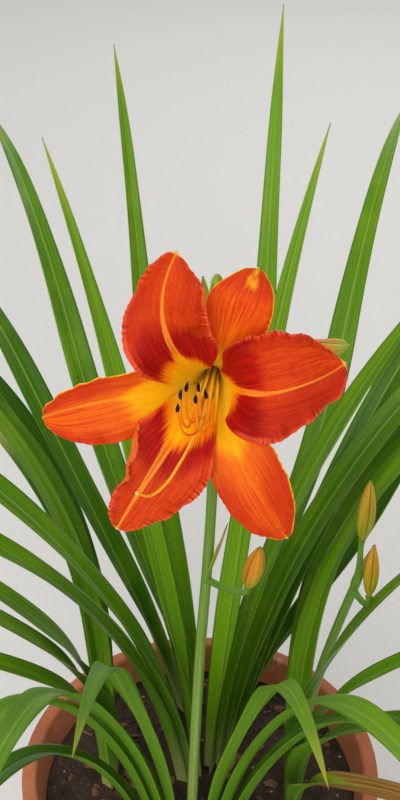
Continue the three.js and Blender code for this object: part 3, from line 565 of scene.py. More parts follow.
def tepalSurface(shape):
    # one tepal as a sheet from inside the tube to its tip: points, thickness and what its material reads
    # s runs up it from 0 to 1, t across it from -1 to 1, u across it in millimetres
    first = (bloom["tube"] - bloom["overlap"]) / shape["length"]
    s = (first + (1 - first) * np.linspace(0, 1, shape["rows"]) ** 0.92)[:, None]
    t = np.sin(np.linspace(-1, 1, shape["columns"]) * math.pi / 2 * 0.9) / math.sin(math.pi / 2 * 0.9)
    centre = midribPoints(shape, s)
    ahead = np.minimum(1, s + 2 / midribSteps)
    along = unit(midribPoints(shape, ahead) - midribPoints(shape, ahead - 4 / midribSteps))
    azimuth = np.arctan2(centre[..., 1], centre[..., 0])
    across = np.stack([-np.sin(azimuth), np.cos(azimuth), 0 * azimuth], -1)
    across = unit(across - along * np.sum(across * along, -1, keepdims=True))
    normal = np.cross(along, across)
    roll = np.radians(curveValue(stations, shape["roll"], s))
    across, normal = turned(across, along, roll), turned(normal, along, roll)

    left, right = (np.maximum(shape["leastHalf"], curveValue(stations, shape[side], s))
                   for side in ("left", "right"))
    half = np.where(t > 0, left, right)
    # a round tip that ends in a small narrow point
    tipward = np.clip(((s - 1) * shape["length"] + shape["point"]) / shape["tipRound"] + 1, 0, 0.965)
    half = half * np.sqrt(1 - tipward ** 2)
    rolled = np.zeros_like(half)  # how much of the margin is rolled inwards, in millimetres
    radius = np.ones_like(half)
    for curl in shape["curls"]:
        middle = (curl["from"] + curl["to"]) / 2
        window = smooth(curl["from"], middle - 0.04, s) * (1 - smooth(middle + 0.04, curl["to"], s))
        window = window * (np.sign(t) == curl["side"])
        rolled = rolled + curl["width"] * window * (1 + 0.2 * wander(s * 26, 91))
        radius = np.where(window > 0, curl["radius"] * (1 + 0.3 * wander(s * 60, 77)), radius)
    half = half + rolled * 0.5

    size = np.abs(t)
    reach = s * shape["length"]
    inward = (1 - size) * half  # from the margin, in millimetres
    lift, pull, slow = marginWaves(shape, reach, t)
    windows = smooth(shape["frillFrom"], shape["frillFull"], s) * (1 - 0.6 * smooth(0.95, 1.0, s))
    windows = windows * shape["frill"]
    crimpFall = np.exp(-(inward / shape["crimpDepth"]) ** 1.3)
    crimps = shape["crimp"] * windows * lift * crimpFall
    puckers = shape["pucker"] * shape["crimp"] * windows * lift * np.exp(-inward / shape["puckerDepth"])
    ruffles = shape["ruffle"] * windows * slow * np.exp(-(inward / shape["ruffleDepth"]) ** 1.3)
    broad = shape["wave"] * size ** 3 * smooth(0.4, 0.6, s) * (1 - smooth(0.92, 1, s))
    broad = broad * np.sin(reach / 2.3 + np.where(t > 0, 0, 1.7) + shape["azimuth"])
    scallop = shape["scallop"] * shape["crimp"] * windows * pull * crimpFall
    waves = shape["waves"] * windows * slow * size ** 3 * (t < 0)
    u = t * (half + scallop + waves)

    # the sheet is cupped round its midrib, its margin may roll up, and waves stand off it
    bend = curveValue(stations, shape["cup"], s) / 1000
    bend = np.where(np.abs(bend) < 1e-6, 1e-6, bend)
    cosine, sine = np.cos(bend * u)[..., None], np.sin(bend * u)[..., None]
    surface, outboard = normal * cosine - across * sine, across * cosine + normal * sine
    beyond = np.maximum(0, rolled - inward)
    angle = beyond / radius
    edgeways = np.sign(t) * (radius * np.sin(angle) - beyond)
    inboard = surface * (radius * (1 - np.cos(angle)))[..., None]
    groove = shape["groove"] * np.exp(-(u / (1.6 - 0.7 * s)) ** 2) * smooth(0.3, 0.5, s)
    folds = shape["fold"] * np.sin(u * 1.9 + 0.9 * wander(reach / 7, shape["seed"] + 9))
    folds = folds * smooth(0.35, 0.6, s) * (0.6 + 0.5 * np.sin(u * 0.7 + reach / 11))
    lying = np.exp(-beyond / 0.8)  # waves fade where the margin is rolled up
    offset = ((crimps + ruffles) * (0.55 + 0.45 * lying) + puckers + broad - groove + folds)[..., None]
    points = centre + across * (sine / bend[..., None]) + normal * ((1 - cosine) / bend[..., None])
    points = points + surface * offset + inboard + outboard * edgeways[..., None]
    thickness = shape["thickness"] * (1 - 0.55 * np.linspace(-1, 1, shape["columns"]) ** 4)
    thickness = thickness * (1 - 0.4 * np.linspace(0, 1, shape["rows"])[:, None])

    rim = np.exp(-inward / shape["rimDepth"]) * smooth(0.34, 0.5, s)
    rim = rim * np.where(np.sign(t) == shape["plainSide"], 0.3 + 0.7 * smooth(0.86, 0.97, s), 1)
    for lip in shape["lips"]:
        window = smooth(lip["from"], lip["from"] + 0.08, s) * (1 - smooth(lip["to"] - 0.08, lip["to"], s))
        window = window * (np.sign(t) == lip["side"])
        rim = np.maximum(rim, 0.9 * window * (1 - smooth(0.6 * lip["width"], 1.3 * lip["width"], inward)))
    rim = np.maximum(rim, 0.95 * smooth(0.0, 0.8, beyond))
    gap = shape["ribGap"] * (1 - smooth(0.5, shape["ribClose"], s))
    ribWidth = shape["rib"] * (1.7 - 0.8 * s)
    between = shape["between"] * np.exp(-(u / (gap + 0.3)) ** 4)
    rib = np.maximum(np.exp(-((np.abs(u) - gap) / ribWidth) ** 2), between) * smooth(0.34, 0.46, s)
    rib = rib * shape["ribStrength"]
    # deep darkens parts of each tepal: painted shade where it faces away from the light, with some of its own
    # deeper red; crown darkens the tip the same way
    deep = curveValue(tLine, shape["deep"], t) * smooth(0.35, 0.6, s)
    deep = deep * (1 - shape["fade"] * smooth(0.5, 0.78, s))
    deep = np.maximum(deep, shape["crown"] * smooth(0.76, 0.88, s))
    tip = smooth(0.945, 1.0, s - 0.05 * size)
    patch = smooth(0.82, 0.90, s) * np.exp(-(u / (3.4 - 2.0 * smooth(0.88, 0.98, s))) ** 4)
    ones = np.ones_like(half)
    facts = {
        "uv": np.stack([(t + 1) / 2 * ones, s * ones], -1),
        "throat": curveValue(tLine, shape["throat"], t) - s + 0.07 * rib,
        "glow": shape["glow"] * ones,
        "eye": curveValue(tLine, shape.get("eye", shape["throat"]), t) - s,
        "rim": rim,
        "rib": rib,
        "tip": np.maximum(tip, shape["patch"] * 0.62 * patch),
        "deep": np.clip(deep, 0, 1),
        # the crimps' rise and fall, which the material paints as highlight on crests and shade in folds
        "crimp": windows * (lift * np.exp(-(inward / 2.6) ** 1.2) + 0.4 * slow * np.exp(-inward / 3.5)),
        "vein": t - np.sign(t) * 0.42 * np.maximum(0, s - 0.4) + shape["seed"],
    }
    return points, thickness, facts


def tepalMaterial(name, colours):
    # zones come as facts: throat and eye rise through 0 at their borders, rim falls from 1 at the edge
    skin = Skin(name, 0.5, Subsurface_Weight=0.2, Subsurface_Scale=1.2 * mm,
                Subsurface_Radius=(1.0, 0.3, 0.05), Specular_IOR_Level=0.1)
    along = skin.uv()[1]
    throat, eye, rim, rib, tip, vein, deep, crimp, under, glow = skin.facts(
        "throat", "eye", "rim", "rib", "tip", "vein", "deep", "crimp", "under", "glow")
    bands = skin.streak(vein * 9, along * 1.6, 3.0, 3.0, 0.55)
    streaks = skin.streak(vein * 24, along * 2.5, 0.0, 4.0, 0.6)
    lines = skin.streak(vein * 14, along * 1.8, 8.0, 2.0, 0.5)
    fineVeins = skin.streak(vein * 55, along * 3.0, 5.0, 2.0, 0.5)
    ridges = skin.streak(vein * 40, along * 4.0, 2.0, 2.0, 0.5)
    cloud, net, crepe = skin.grain(90.0, 3.0, 0.5), skin.grain(420.0, 3.0, 0.6), skin.grain(900.0, 2.0, 0.6)
    cells = put(skin.tree, "ShaderNodeTexVoronoi",
                {"Vector": vector(skin.tree, vein * 15, along * 9, 0.0), "Scale": 1.0},
                feature="DISTANCE_TO_EDGE", voronoi_dimensions="2D")
    mesh = Field(skin.tree, cells.outputs["Distance"]).ramp(0.0, 0.13, 1.0, 0.0)

    # painted shade, partly the tepal's own deeper red: the body darkens towards the deep colour where deep is
    # high
    deepRedAndShade = deep + (cloud - 0.5) * 0.7 + (bands - 0.5) * 1.6
    nearThroat = (throat + (streaks - 0.5) * 0.3 + (cloud - 0.5) * 0.10).ramp(-0.24, -0.02)
    body = skin.paint(
        skin.mix((streaks * 0.5 + bands * 0.5).ramp(0.36, 0.62), colours["body"], colours["bodyPale"]),
        (deepRedAndShade.ramp(0.1, 0.9, 0.0, 0.9), colours["deep"]),
        (lines.ramp(0.50, 0.64, 0.0, colours["lineShare"]), colours["vein"]),
        (fineVeins.ramp(0.51, 0.64, 0.0, colours["veinShare"]), colours["vein"]),
        (mesh * along.ramp(0.45, 0.7, 0.0, colours["meshShare"]), colours["vein"]),
        (net.ramp(0.55, 0.68, 0.0, 0.25), colours["vein"]),
        (crepe.ramp(0.46, 0.30, 0.0, 0.10), colours["speck"]),
        (rim.ramp(colours["rimFrom"], 1.0, 0.0, colours["rimShare"]), colours["rim"]),
        (nearThroat * glow, colours["throatEdge"]),
    )
    eyeShade = skin.paint(
        skin.mix((streaks * 0.6 + bands * 0.4).ramp(0.38, 0.62), colours["eye"], colours["eyePale"]),
        (fineVeins.ramp(0.50, 0.66, 0.0, 0.45), colours["eyeVein"]),
        (lines.ramp(0.50, 0.64, 0.0, 0.4), colours["eyeVein"]),
        # painted shade: the eye darkens where deep is high
        (deep.ramp(0.2, 0.8, 0.0, 0.5), colours["eyeVein"]),
    )
    eyeEdge = eye + (streaks - 0.5) * 0.20 + (cloud - 0.5) * 0.05
    ribEdge = rib + (fineVeins - 0.5) * 0.35 + (streaks - 0.5) * 0.4
    tipEdge = tip + (net - 0.5) * tip.ramp(0.0, 0.3, 0.0, 1.2)
    body = skin.paint(
        body,
        (eyeEdge.ramp(-0.055, 0.045, 0.0, colours["eyeShare"]) * rim.ramp(0.5, 0.95, 1.0, 0.35), eyeShade),
        # painted highlight on the crimps' crests and painted shade in their folds
        (crimp.ramp(0.12, 0.8, 0.0, colours["crestHighlightShare"]), colours["rim"]),
        (crimp.ramp(-0.10, -0.6, 0.0, colours["foldShadeShare"]), colours["eyeVein"]),
        (ribEdge.ramp(0.3, 0.75, 0.0, colours["ribShare"]), colours["rib"]),
        (tipEdge.ramp(0.2, 1.0), colours["tip"]),
        (along.ramp(0.982, 0.992), colours["point"]),
    )
    throatEdge = throat + (streaks - 0.5) * 0.14 + (fineVeins - 0.5) * 0.05
    # the deep throat is painted lighter than its own olive-yellow: painted light where the tube shades it
    inThroat = skin.paint(
        skin.mix(along.ramp(0.24, 0.46), colours["throatDeepPaintedLighter"], colours["throat"]),
        (fineVeins.ramp(0.5, 0.7, 0.0, 0.35), colours["throatVein"]),
        (streaks.ramp(0.56, 0.68, 0.0, 0.3), colours["throatGroove"]),
    )
    back = skin.paint(
        skin.mix(along.ramp(0.22, 0.55), colours["backFoot"], colours["back"]),
        (streaks.ramp(0.5, 0.66, 0.0, 0.6), colours["backVein"]),
        (rib.ramp(0.1, 0.7, 0.0, 0.8), colours["backFoot"]),
    )
    body = skin.paint(
        body,
        (throatEdge.ramp(-0.038, 0.01), colours["throatEdge"]),
        (throatEdge.ramp(-0.01, 0.06), inThroat),
        (under, back),
    )
    return skin.finish(body, ridges * 0.45 + bands * 0.35 + crepe * 0.2 + net * 0.25, 0.6, 0.8)


def buildTepals(name, group, form, skin):
    vertices, faces, facts = joinShells(tepalSurface({**plainTepal, **form, **tepal}) for tepal in group)
    uvs = facts.pop("uv")
    finishPiece(meshObject(name, fromBloom(vertices), faces, skin, uvs, facts), "petal", "perianth")


petalSkin = tepalMaterial("petalSkin", petalColours)
for name, petal in petals.items():
    buildTepals(name, [petal], petalForm, petalSkin)
buildTepals("sepalsFine", sepals, sepalForm, tepalMaterial("sepalSkin", sepalColours))
print("petals and sepals grown")


def stemTree():
    # round stems along polylines; each point of a polyline carries the stem's radius there
    tree, given = newTree("stem", "Geometry", "Step", "Sides", "Material")
    radius = flow(tree, "GeometryNodeInputNamedAttribute", {"Name": "stemRadius"}, data_type="FLOAT")
    curve = flow(tree, "GeometryNodeMeshToCurve", {0: given["Geometry"]})
    even = flow(tree, "GeometryNodeResampleCurve", {"Curve": curve, "Length": given["Step"]}, mode="LENGTH")
    ring = flow(tree, "GeometryNodeCurvePrimitiveCircle", {"Resolution": given["Sides"], "Radius": 1.0})
    for label, value in zip(("ringX", "ringY"), split(tree, flow(tree, "GeometryNodeInputPosition"))):
        ring = store(tree, ring, label, value)
    swept = flow(tree, "GeometryNodeCurveToMesh",
                 {"Curve": even, "Profile Curve": ring, "Scale": radius, "Fill Caps": True})
    return endTree(tree, swept, given["Material"])


stem = stemTree()


def stemMesh(name, paths):
    # paths: lists of (points in metres, radii in metres, shares of the length)
    vertices, edges, radii, shares = [], [], [], []
    for points, radius, share in paths:
        start = len(vertices)
        vertices.extend(points.tolist())
        edges.extend((start + i, start + i + 1) for i in range(len(points) - 1))
        radii.extend(radius.tolist())
        shares.extend(share.tolist())
    mesh = bpy.data.meshes.new(name)
    mesh.from_pydata(vertices, edges, [])
    for label, values in (("stemRadius", radii), ("share", shares)):
        mesh.attributes.new(label, "FLOAT", "POINT").data.foreach_set("value", values)
    return mesh


def growStem(name, paths, form, skin, slot, node):
    sizes = {"Step": form["step"] * mm, "Sides": form["sides"], "Material": skin}
    finishPiece(grow(name, stem, sizes, stemMesh(name, paths)), slot, node)


def stemMaterial(name, foot, top, streak, roughness, sink=0.1, change=(0.0, 1.0)):
    # colours run from the foot to the top of each stem, with fine streaks along it
    skin = Skin(name, roughness, Subsurface_Weight=sink, Subsurface_Scale=1.0 * mm,
                Subsurface_Radius=(1.0, 0.5, 0.1), Specular_IOR_Level=0.25)
    share, ringX, ringY = skin.facts("share", "ringX", "ringY")
    streaks = skin.streak(ringX * 3.0, ringY * 3.0, share * 5.0, 4.0, 0.6, scale=1.6)
    spots = skin.grain(420.0, 3.0, 0.6)
    body = skin.paint(
        skin.mix(share.ramp(*change), foot, top),
        (streaks.ramp(0.42, 0.66, 0.0, 0.7), streak),
        (spots.ramp(0.60, 0.72, 0.0, 0.25), foot),
    )
    return skin.finish(body, streaks * 0.8 + spots * 0.2, 0.25, 0.5)


# the outline is half the tube's section as height and radius; the lip is the number of its rim's point
tubeForm = {
    "outline": [(-34.4, 0.0), (-34.4, 2.3), (-33.6, 2.8), (-31.6, 3.5), (-29, 4.3), (-26, 4.9), (-22, 5.4),
                (-15, 6.2), (-10.5, 6.9), (-7.8, 7.3), (-7.3, 7.2), (-7.7, 6.8), (-10, 6.2), (-15, 4.6),
                (-22, 3.5), (-27, 3.0), (-28.0, 2.4), (-28.0, 0.0)],
    "lip": 9, "rings": 76, "sides": 72, "ribs": 0.035, "ribTurn": 10,
}


def tubeMaterial():
    skin = Skin("tubeSkin", 0.45, Subsurface_Weight=0.8, Subsurface_Scale=3.0 * mm,
                Subsurface_Radius=(1.0, 0.8, 0.25))
    depth, inside = skin.facts("depth", "inside")
    streaks = skin.grain(260.0, 3.0, 0.6)
    body = skin.paint(
        skin.mix((depth + (streaks - 0.5) * 0.2).ramp(0.15, 1.0), (216, 188, 62), (140, 158, 50)),
        (streaks.ramp(0.5, 0.7, 0.0, 0.5), (172, 166, 46)),
        # painted light: the tube's inner wall is painted a brighter yellow than its own, where the bore lies in
        # shade
        (inside, skin.mix(streaks.ramp(0.5, 0.7), (255, 222, 70), (238, 190, 40))),
    )
    return skin.finish(body, streaks, 0.3, 0.4)


def buildTube():
    # the green-yellow tube that the six tepals grow out of, with a shallow rib under each of them
    outline = np.array(tubeForm["outline"], float)
    marks = np.linspace(0, len(outline) - 1, tubeForm["rings"])
    height, radius = (np.interp(marks, np.arange(len(outline)), column)[:, None] for column in outline.T)
    angle = around(tubeForm["sides"])
    ribs = 1 + tubeForm["ribs"] * np.cos(6 * (angle - math.radians(tubeForm["ribTurn"])))
    points = circles(radius * ribs, height, angle)
    vertices, faces = closedRings(points[1:-1], points[[0, -1], 0])
    # inside marks the tube's inner wall, which the material paints lighter as painted light
    inside = ringFacts(marks[1:-1, None] > tubeForm["lip"], (len(marks) - 2, len(angle)), 0, 1)
    facts = {"depth": vertices[:, 2] / -bloom["tube"], "inside": inside}
    made = meshObject("tubeFine", fromBloom(vertices), faces, tubeMaterial(), None, facts)
    finishPiece(made, "petal", "perianth")


stamenForm = {
    "circle": 2.2, "floor": -27.7, "foot": 1.0, "tip": 0.48, "step": 0.9, "sides": 12.0, "points": 120,
    "antherLength": 5.6, "antherWidth": 1.0, "antherDepth": 0.75, "antherRings": 30, "antherSides": 32,
}
stamens = [
    {"foot": 180, "tip": (-7.7, 9.2, 44),
     "through": [(-3.6, -1, 0), (-5.4, -7.5, 11), (-6.6, -13.2, 22), (-8.6, -7, 33), (-8.2, 4.6, 42)]},
    {"foot": 120, "tip": (-5.6, 12, 42),
     "through": [(-1.4, 0.8, 0), (-3.2, -5.6, 11), (-4.6, -11, 21.5), (-6.4, -5.5, 32), (-6.4, 7.2, 40)]},
    {"foot": 240, "tip": (-9, 4.2, 47),
     "through": [(-3, -4.4, 0), (-3.4, -10.2, 11), (-3.4, -15.4, 22), (-7.4, -12.4, 34), (-9.4, -0.4, 44)]},
    {"foot": 60, "tip": (-1.4, 11.2, 38),
     "through": [(1.4, 0.8, 0), (1.2, -5.6, 11), (1, -11.2, 20), (-1, -5, 30), (-1.4, 6.4, 36)]},
    {"foot": 300, "tip": (-2.2, 7.2, 42.5),
     "through": [(2.9, -4.4, 0), (1.6, -10, 11), (0.4, -15.2, 21), (-1.8, -9, 33), (-2.4, 2.4, 40)]},
    {"foot": 0, "tip": (0.6, 7.8, 36),
     "through": [(3.6, -1, 0), (4, -7.6, 11), (3.6, -13.6, 19), (1.6, -7.6, 28), (1.2, 3.2, 34)]},
]
pistil = {
    "radius": 0.7, "step": 0.8, "sides": 14.0, "points": 160,
    "stigma": 0.78, "stigmaLength": 2.0, "stigmaRings": 16, "stigmaSides": 30,
    "through": [(0, 0, -27.7), (0, 0, -14), (-0.2, -3.6, -1), (-1, -8.4, 7), (-2.2, -14, 14), (-5, -19, 23),
                (-8.6, -25, 34), (-14, -33, 40), (-19.5, -36, 46), (-24, -33, 52)],
}


def antherMaterial():
    # dark pouches, split along their edges, where the yellow pollen shows
    skin = Skin("antherSkin", 0.85, Specular_IOR_Level=0.1)
    seam, end = skin.facts("split", "end")
    grains = skin.grain(2600.0, 2.0, 0.6)
    dark = skin.mix(grains.ramp(0.4, 0.62), (22, 8, 6), (66, 30, 14))
    pollen = skin.mix(grains.ramp(0.4, 0.6), (240, 166, 24), (255, 220, 70))
    share = (seam + end * 0.5 + (grains - 0.5) * 0.5).ramp(0.40, 0.7)
    return skin.finish(skin.mix(share, dark, pollen), grains, 0.12, 0.8)


def buildAnther(name, end, direction, outward, skin, node):
    # two pouches side by side, slightly bowed, pollen along the splits
    s, angle = np.linspace(0, 1, stamenForm["antherRings"])[:, None], around(stamenForm["antherSides"])
    bow = 0.35 * (1 - (2 * s - 1) ** 2)
    fullness = np.maximum(0.02, 1 - np.abs(2 * s - 1) ** (2.8 - 1.3 * s)) ** 0.75  # drawn out towards the tip
    lobes = 1 - 0.34 * np.exp(-((np.abs(np.sin(angle)) - 1) / 0.12) ** 2)
    side = unit(np.cross(direction, outward))
    outward = np.cross(side, direction)
    wide = np.cos(angle) * fullness * stamenForm["antherWidth"]
    deep = np.sin(angle) * lobes * fullness * stamenForm["antherDepth"]
    points = (end + direction * ((s - 1) * stamenForm["antherLength"]) + outward * bow)[:, None]
    points = points + side * wide[..., None] + outward * deep[..., None]
    vertices, faces = closedRings(points)
    grid = wide.shape
    facts = {"split": ringFacts(np.exp(-((np.abs(np.cos(angle)) - 0.93) / 0.10) ** 2), grid, 0.5, 0.5),
             "end": ringFacts(np.abs(2 * s - 1) ** 8, grid, 1, 1)}
    finishPiece(meshObject(name, fromBloom(vertices), faces, skin, None, facts), "stamen", node)


def buildStamens():
    filamentSkin = stemMaterial("filamentSkin", (240, 196, 36), (255, 124, 4), (255, 166, 14), 0.5, 0.25,
                                (0.34, 0.62))
    antherSkin = antherMaterial()
    for i, stamen in enumerate(stamens, 1):
        node = "stamen_%d" % i
        start = circles(stamenForm["circle"], stamenForm["floor"], math.radians(stamen["foot"]))
        points = [start, (start[0] * 1.1, start[1] * 1.1, -12)] + stamen["through"] + [stamen["tip"]]
        path, share, length = smoothPath(points, stamenForm["points"])
        tip, direction = path[-1], unit(path[-1] - path[-6])
        kept = share * length < length - 0.55 * stamenForm["antherLength"]
        radii = stamenForm["tip"] + (stamenForm["foot"] - stamenForm["tip"]) * (1 - share) ** 2.2
        growStem("filament_%d" % i, [(fromBloom(path[kept]), radii[kept] * mm, share[kept])], stamenForm,
                 filamentSkin, "stamen", node)
        outward = unit(np.array([-0.35 + 0.25 * ((i - 1) % 3), -0.3, 1.0]))
        outward = unit(outward - direction * outward.dot(direction))
        buildAnther("anther_%d" % i, tip + outward * 0.5, direction, outward, antherSkin, node)


def stigmaMaterial():
    skin = Skin("stigmaSkin", 0.6, Subsurface_Weight=0.2, Subsurface_Scale=0.6 * mm)
    grains = skin.grain(2400.0, 2.0, 0.6)
    return skin.finish(skin.mix(grains.ramp(0.4, 0.62), (246, 200, 110), (250, 226, 160)), grains, 0.1, 0.8)


def buildPistil():
    styleSkin = stemMaterial("styleSkin", (255, 208, 76), (255, 160, 20), (255, 200, 64), 0.4, 0.25,
                             (0.45, 0.8))
    path, share = smoothPath(pistil["through"], pistil["points"])[:2]
    radii = pistil["radius"] * (1.05 - 0.2 * share + 0.35 * smooth(0.96, 1.0, share))
    growStem("styleFine", [(fromBloom(path), radii * mm, share)], pistil, styleSkin, "pistil", "pistil")
    # the stigma: a small knob of three blunt lobes with a rough top
    direction = unit(path[-1] - path[-4])
    side = unit(np.cross(direction, (0, 0, 1)))
    other = np.cross(direction, side)
    s, angle = np.linspace(0.02, 0.98, pistil["stigmaRings"])[:, None], around(pistil["stigmaSides"])
    swell = np.sin(math.pi * s ** 0.85) ** 0.6 * (1 + 0.14 * np.cos(3 * angle))
    radius = pistil["stigma"] * swell
    points = (path[-1] + direction * ((s - 0.45) * pistil["stigmaLength"]))[:, None]
    points = points + (radius * np.cos(angle))[..., None] * side + (radius * np.sin(angle))[..., None] * other
    vertices, faces = closedRings(points)
    finishPiece(meshObject("stigmaFine", fromBloom(vertices), faces, stigmaMaterial()), "pistil", "pistil")


buildTube()
buildStamens()
buildPistil()
print("tube, stamens and pistil grown")

leafForm = {
    "footHeight": 146.6, "rankSpacing": 4.6, "rows": 92, "columns": 13,
    "thickness": 0.75, "keel": 0.6, "foldFoot": 48, "foldOpen": 16, "flutter": 0.9, "leastHalf": 0.25,
    "solidSteps": 13,
}
fans = [
    {"x": -6, "y": -48, "plane": -5, "inner": 9.5},
    {"x": -62, "y": 14, "plane": 97, "inner": 6.5},
    {"x": 4, "y": 64, "plane": 172, "inner": 6.5},
    {"x": 62, "y": 0, "plane": 85, "inner": 9.5},
    {"x": 2, "y": 8, "plane": 20, "inner": 6.5},
]
# each leaf: side of its fan, rank, direction, lean at the foot, angle from upright at the tip, length, width,
# roll at the tip, tone from -1 dark to 1 bright, and the share of its length at the tip that has dried
leaves = [
    [(1, 0, -84, 4, 76, 400, 19, 25, 0.3, 0.02), (-1, 0, 267, 3, 72, 400, 19, -20, 0.1, 0.0),
     (1, 1, -72, 7, 104, 450, 22, 15, 0.6, 0.03), (-1, 1, 262, 6, 108, 460, 22, -10, 0.2, 0.02),
     (1, 2, -67, 10, 120, 450, 22, 10, -0.1, 0.10), (-1, 2, 256, 8, 120, 460, 22, -10, 0.5, 0.03),
     (-1, 3, 248, 11, 136, 360, 19, 20, -0.3, 0.22)],
    [(1, 0, 168, 4, 60, 460, 20, 15, 0.5, 0.02), (-1, 0, 184, 3, 98, 440, 20, -20, 0.2, 0.0),
     (1, 1, 156, 7, 100, 520, 23, 10, -0.2, 0.04), (-1, 1, 191, 5, 106, 470, 22, -10, 0.4, 0.02),
     (1, 2, 144, 11, 116, 520, 24, 10, -0.5, 0.06), (-1, 2, 197, 7, 120, 440, 22, -10, 0.7, 0.12),
     (1, 3, 132, 14, 130, 400, 20, 10, -0.6, 0.30)],
    [(1, 0, 100, 3, 50, 500, 20, 15, 0.4, 0.0), (-1, 0, 84, 3, 44, 520, 21, -20, 0.7, 0.01),
     (1, 1, 112, 7, 92, 540, 24, 15, 0.0, 0.03), (-1, 1, 72, 7, 88, 540, 24, -10, 0.2, 0.02),
     (1, 2, 124, 11, 112, 520, 23, 10, -0.4, 0.05), (-1, 2, 63, 11, 110, 520, 23, -10, -0.2, 0.10),
     (-1, 3, 54, 14, 128, 420, 20, 20, -0.5, 0.20)],
    [(1, 0, 2, 4, 70, 460, 20, 15, 0.6, 0.01), (-1, 0, -6, 4, 66, 430, 20, -20, 0.2, 0.0),
     (1, 1, 17, 7, 98, 500, 23, 15, 0.1, 0.03), (-1, 1, -18, 7, 104, 450, 22, -10, 0.5, 0.04),
     (1, 2, 31, 11, 116, 480, 23, 10, -0.4, 0.08), (-1, 2, -30, 11, 120, 440, 22, -10, 0.3, 0.03),
     (-1, 3, -42, 14, 134, 350, 19, 20, -0.4, 0.55)],
    [(1, 0, 60, 2, 32, 470, 20, 25, 0.8, 0.0), (-1, 0, 130, 3, 30, 470, 20, -20, 0.6, 0.01),
     (1, 1, 12, 4, 50, 500, 22, 15, 0.3, 0.02), (-1, 1, 172, 5, 106, 540, 24, -10, 0.0, 0.03),
     (1, 2, 32, 5, 110, 550, 24, 15, -0.1, 0.04), (-1, 2, 188, 6, 116, 530, 23, -10, 0.4, 0.05),
     (1, 3, 48, 6, 100, 520, 23, 10, -0.3, 0.08)],
]


def leafTree():
    # a strap leaf: a grid walked up its own arch and folded along the midrib; its two faces close at the rim
    tree, given = newTree("strapLeaf", "Foot", "Plane", "Turn", "Lean", "Arch", "Length", "Width", "Roll",
                          "Seed", "Tone", "Dry", "Material")
    rows, columns = leafForm["rows"], leafForm["columns"]
    grid = flow(tree, "GeometryNodeMeshGrid",
                {"Size X": 1.0, "Size Y": 2.0, "Vertices X": rows, "Vertices Y": columns})
    x, u = split(tree, flow(tree, "GeometryNodeInputPosition"))[:2]
    s = x + 0.5
    grid = store(tree, grid, "UVMap", vector(tree, (u + 1) * 0.5, s, 0.0), data_type="FLOAT2", domain="CORNER")
    for label in ("Tone", "Dry", "Seed"):
        grid = store(tree, grid, label.lower(), given[label])

    # the arch is taken a little ahead, as the steps of the plain solid take it
    later = s + 0.5 / leafForm["solidSteps"]
    heading = given["Plane"] + given["Turn"] * later.ramp(0.05, 0.65)
    tilt = given["Lean"] * later.ramp(0.0, 0.08) + (given["Arch"] - given["Lean"]) * later ** 1.7
    tilt = tilt + (later * 7 + given["Seed"] * 5).sin() * later * 0.035  # no leaf is a perfect arc
    along = vector(tree, tilt.sin() * heading.cos(), tilt.sin() * heading.sin(), tilt.cos())
    level = vector(tree, heading.sin() * -1, heading.cos(), 0.0)
    across = flow(tree, "ShaderNodeVectorRotate",
                  {"Vector": level, "Axis": along, "Angle": given["Roll"] * s * s}, rotation_type="AXIS_ANGLE")
    upper = vectorSum(tree, "CROSS_PRODUCT", along, across)
    column = ((u + 1) * (columns - 1) / 2 + 0.5).floor()
    walked = put(tree, "GeometryNodeAccumulateField", {"Value": along, "Group ID": column},
                 data_type="FLOAT_VECTOR").outputs["Trailing"]
    centre = vectorSum(tree, "SCALE", walked, Scale=given["Length"] / (rows - 1))
    centre = vectorSum(tree, "ADD", centre, given["Foot"])

    fold = s.ramp(0.0, 0.55, math.radians(leafForm["foldFoot"]), math.radians(leafForm["foldOpen"]))
    taper = (s.ramp(0.0, 0.3) * 0.3 + 0.7) * ((1 - s ** 2.2).most(0.0) ** 0.8)
    half = (given["Width"] * 0.5 * taper).most(leafForm["leastHalf"] * mm)
    bent = (u * u + 0.012) ** 0.5 - 0.05
    edge = u * u * u * u
    flutter = (s * given["Length"] * 42 + given["Seed"] * 9 + u * 1.4).sin() * edge * leafForm["flutter"] * mm
    flutter = flutter * s.ramp(0.1, 0.5) * s.ramp(0.85, 1.0, 1.0, 0.0)
    inwards = (s * given["Length"] * 23 + given["Seed"] * 3).sin() * 0.03 + 1
    sideways = vectorSum(tree, "SCALE", across, Scale=u * half * fold.cos() * inwards)
    upwards = bent * half * fold.sin() + flutter
    ends = (s * 60).least(1.0) * ((1 - s) * 40).least(1.0)
    full = ends * (1 - edge) * (leafForm["thickness"] / 2 * mm)
    keel = (1 - s * 0.7) * ends * (leafForm["keel"] * mm)
    keel = keel * (1 - (u.abs() * 4).least(1.0)).ramp(0.0, 1.0)
    both = tree.nodes.new("GeometryNodeJoinGeometry")
    for side, lift in ((1.0, upwards + full), (0.0, upwards - full - keel)):
        moved = vectorSum(tree, "ADD", vectorSum(tree, "ADD", centre, sideways),
                          vectorSum(tree, "SCALE", upper, Scale=lift))
        face = flow(tree, "GeometryNodeSetPosition", {"Geometry": grid, "Position": moved})
        face = store(tree, face, "upper", side)
        if not side:
            face = flow(tree, "GeometryNodeFlipFaces", {0: face})
        tree.links.new(face, both.inputs[0])
    closed = flow(tree, "GeometryNodeMergeByDistance", {"Geometry": both.outputs[0], "Distance": 0.004 * mm})
    return endTree(tree, closed, given["Material"])


